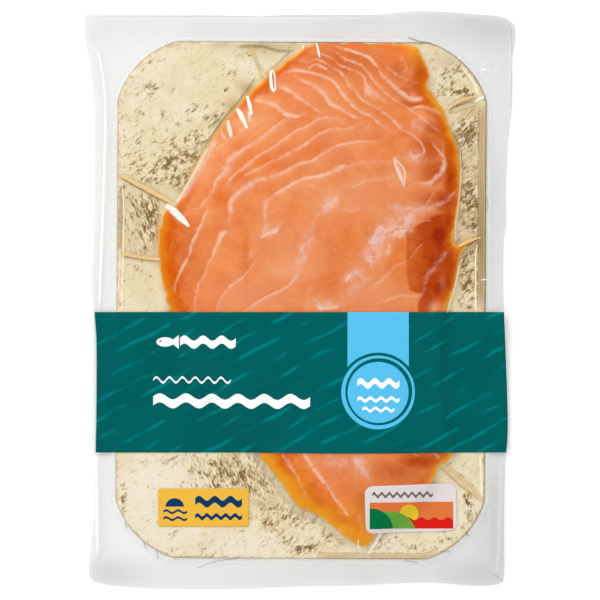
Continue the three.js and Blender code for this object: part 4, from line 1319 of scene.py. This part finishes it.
def right_material():
    """A pale panel with a line of small waves over a field of hills, sea and sun."""
    g = Print("right_print")
    pale = g.mix(g.noise(6), (228, 216, 218), (233, 224, 224))
    swell = (g.x * 1.3).math("SINE") * 0.5
    scene = g.mix(g.disc(409, 514, 9.5), (226, 120, 62), (232, 200, 52))
    scene = g.coats(
        scene,
        ((g.y - swell).below(place((0, 519))[1]), (218, 32, 24)),
        (g.disc(390, 538, 27), (106, 166, 62)),
        (g.disc(371, 530, 22), (0, 116, 62)))
    return g.ink(g.coats(
        pale,
        (g.wave(372, 433, 494.5, 1.7, 7.6, 3.2), (122, 108, 104)),
        (g.box(369.5, 453.5, 502, 529), scene)))


# ------------------------------------------------------------------ stage

FLOOR_REACH = 20000.0
FLOOR_HEIGHT = -0.2
FLOOR_LIGHT = 0.15                # glow that keeps the pack's soft shadow pale
KEY = (-0.84, 1.2, 1.0)           # where the large soft lamp stands, in metres
KEY_SIZE = 1.1
KEY_WATTS = 12.0
LENS, SENSOR = 200.0, 36.0
LENS_SETBACK = 0.003              # metres, so that the scale holds a little above the floor

# The sky is dimmer overhead, where the glossy film would mirror it to the camera.
SKY = {"From Min": 0.8, "From Max": 0.97, "To Min": 1.03, "To Max": 0.13}


def make_stage():
    corners = [(-1, -1), (1, -1), (1, 1), (-1, 1)]
    floor = piece("floor", [(a * FLOOR_REACH, b * FLOOR_REACH, FLOOR_HEIGHT) for a, b in corners],
                  [[0, 1, 2, 3]])
    g = Graph("floor")
    floor.data.materials.append(g.finish(g.principled(
        Base_Color=(250.46, 250.46, 250.46), Roughness=0.95, Specular_IOR_Level=0.0,
        Emission_Color=WHITE, Emission_Strength=FLOOR_LIGHT)))
    lamp = bpy.data.lights.new("key", "AREA")
    lamp.shape = "SQUARE"
    lamp.size = KEY_SIZE
    lamp.energy = KEY_WATTS
    key = bpy.data.objects.new("key", lamp)
    key.location = KEY
    key.rotation_euler = (-key.location).to_track_quat("-Z", "Y").to_euler()
    bpy.context.scene.collection.objects.link(key)
    world = bpy.data.worlds.new("studio")
    world.use_nodes = True
    tree = world.node_tree
    direction = tree.nodes.new("ShaderNodeTexCoord")
    split = tree.nodes.new("ShaderNodeSeparateXYZ")
    sky = tree.nodes.new("ShaderNodeMapRange")
    for name, value in SKY.items():
        sky.inputs[name].default_value = value
    tree.links.new(direction.outputs["Generated"], split.inputs[0])
    tree.links.new(split.outputs["Z"], sky.inputs["Value"])
    tree.links.new(sky.outputs[0], tree.nodes["Background"].inputs["Strength"])
    tree.nodes["Background"].inputs["Color"].default_value = (1, 1, 1, 1)
    bpy.context.scene.world = world
    bpy.context.scene.view_settings.view_transform = "Standard"


def make_camera():
    """A long lens square above the pack, which sees exactly what the photo shows."""
    camera = bpy.data.cameras.new("camera")
    camera.lens = LENS
    camera.sensor_width = SENSOR
    made = bpy.data.objects.new("camera", camera)
    side = PHOTO_SIDE * PIXEL * MM
    aside = (PHOTO_SIDE / 2 - PHOTO_MIDDLE[0]) * PIXEL * MM
    made.location = (aside, 0, side * LENS / SENSOR + LENS_SETBACK)
    bpy.context.scene.collection.objects.link(made)
    bpy.context.scene.camera = made


make_camera()
make_stage()
make_salmon()
make_board()
make_film_front()
make_film_back()
make_lines("film_pleats", [(strength, 0, line) for _, strength, line in PLEATS], pleat_material())
make_lines("film_sheens", SHEENS,
           line_material("film_sheens", (254, 253, 250), (246, 226, 196), edge=0.0))
make_lines("film_glints", GLINTS, line_material("film_glints", (255, 252, 246), (253, 238, 190)))
make_lines("film_crease_shades", CREASE_SHADES, line_material("film_crease_shades", (118, 118, 120), (112, 88, 42)))
make_band()
make_panel("left_print", "label_left", LEFT_PANEL, left_material())
make_panel("right_print", "label_right", RIGHT_PANEL, right_material())
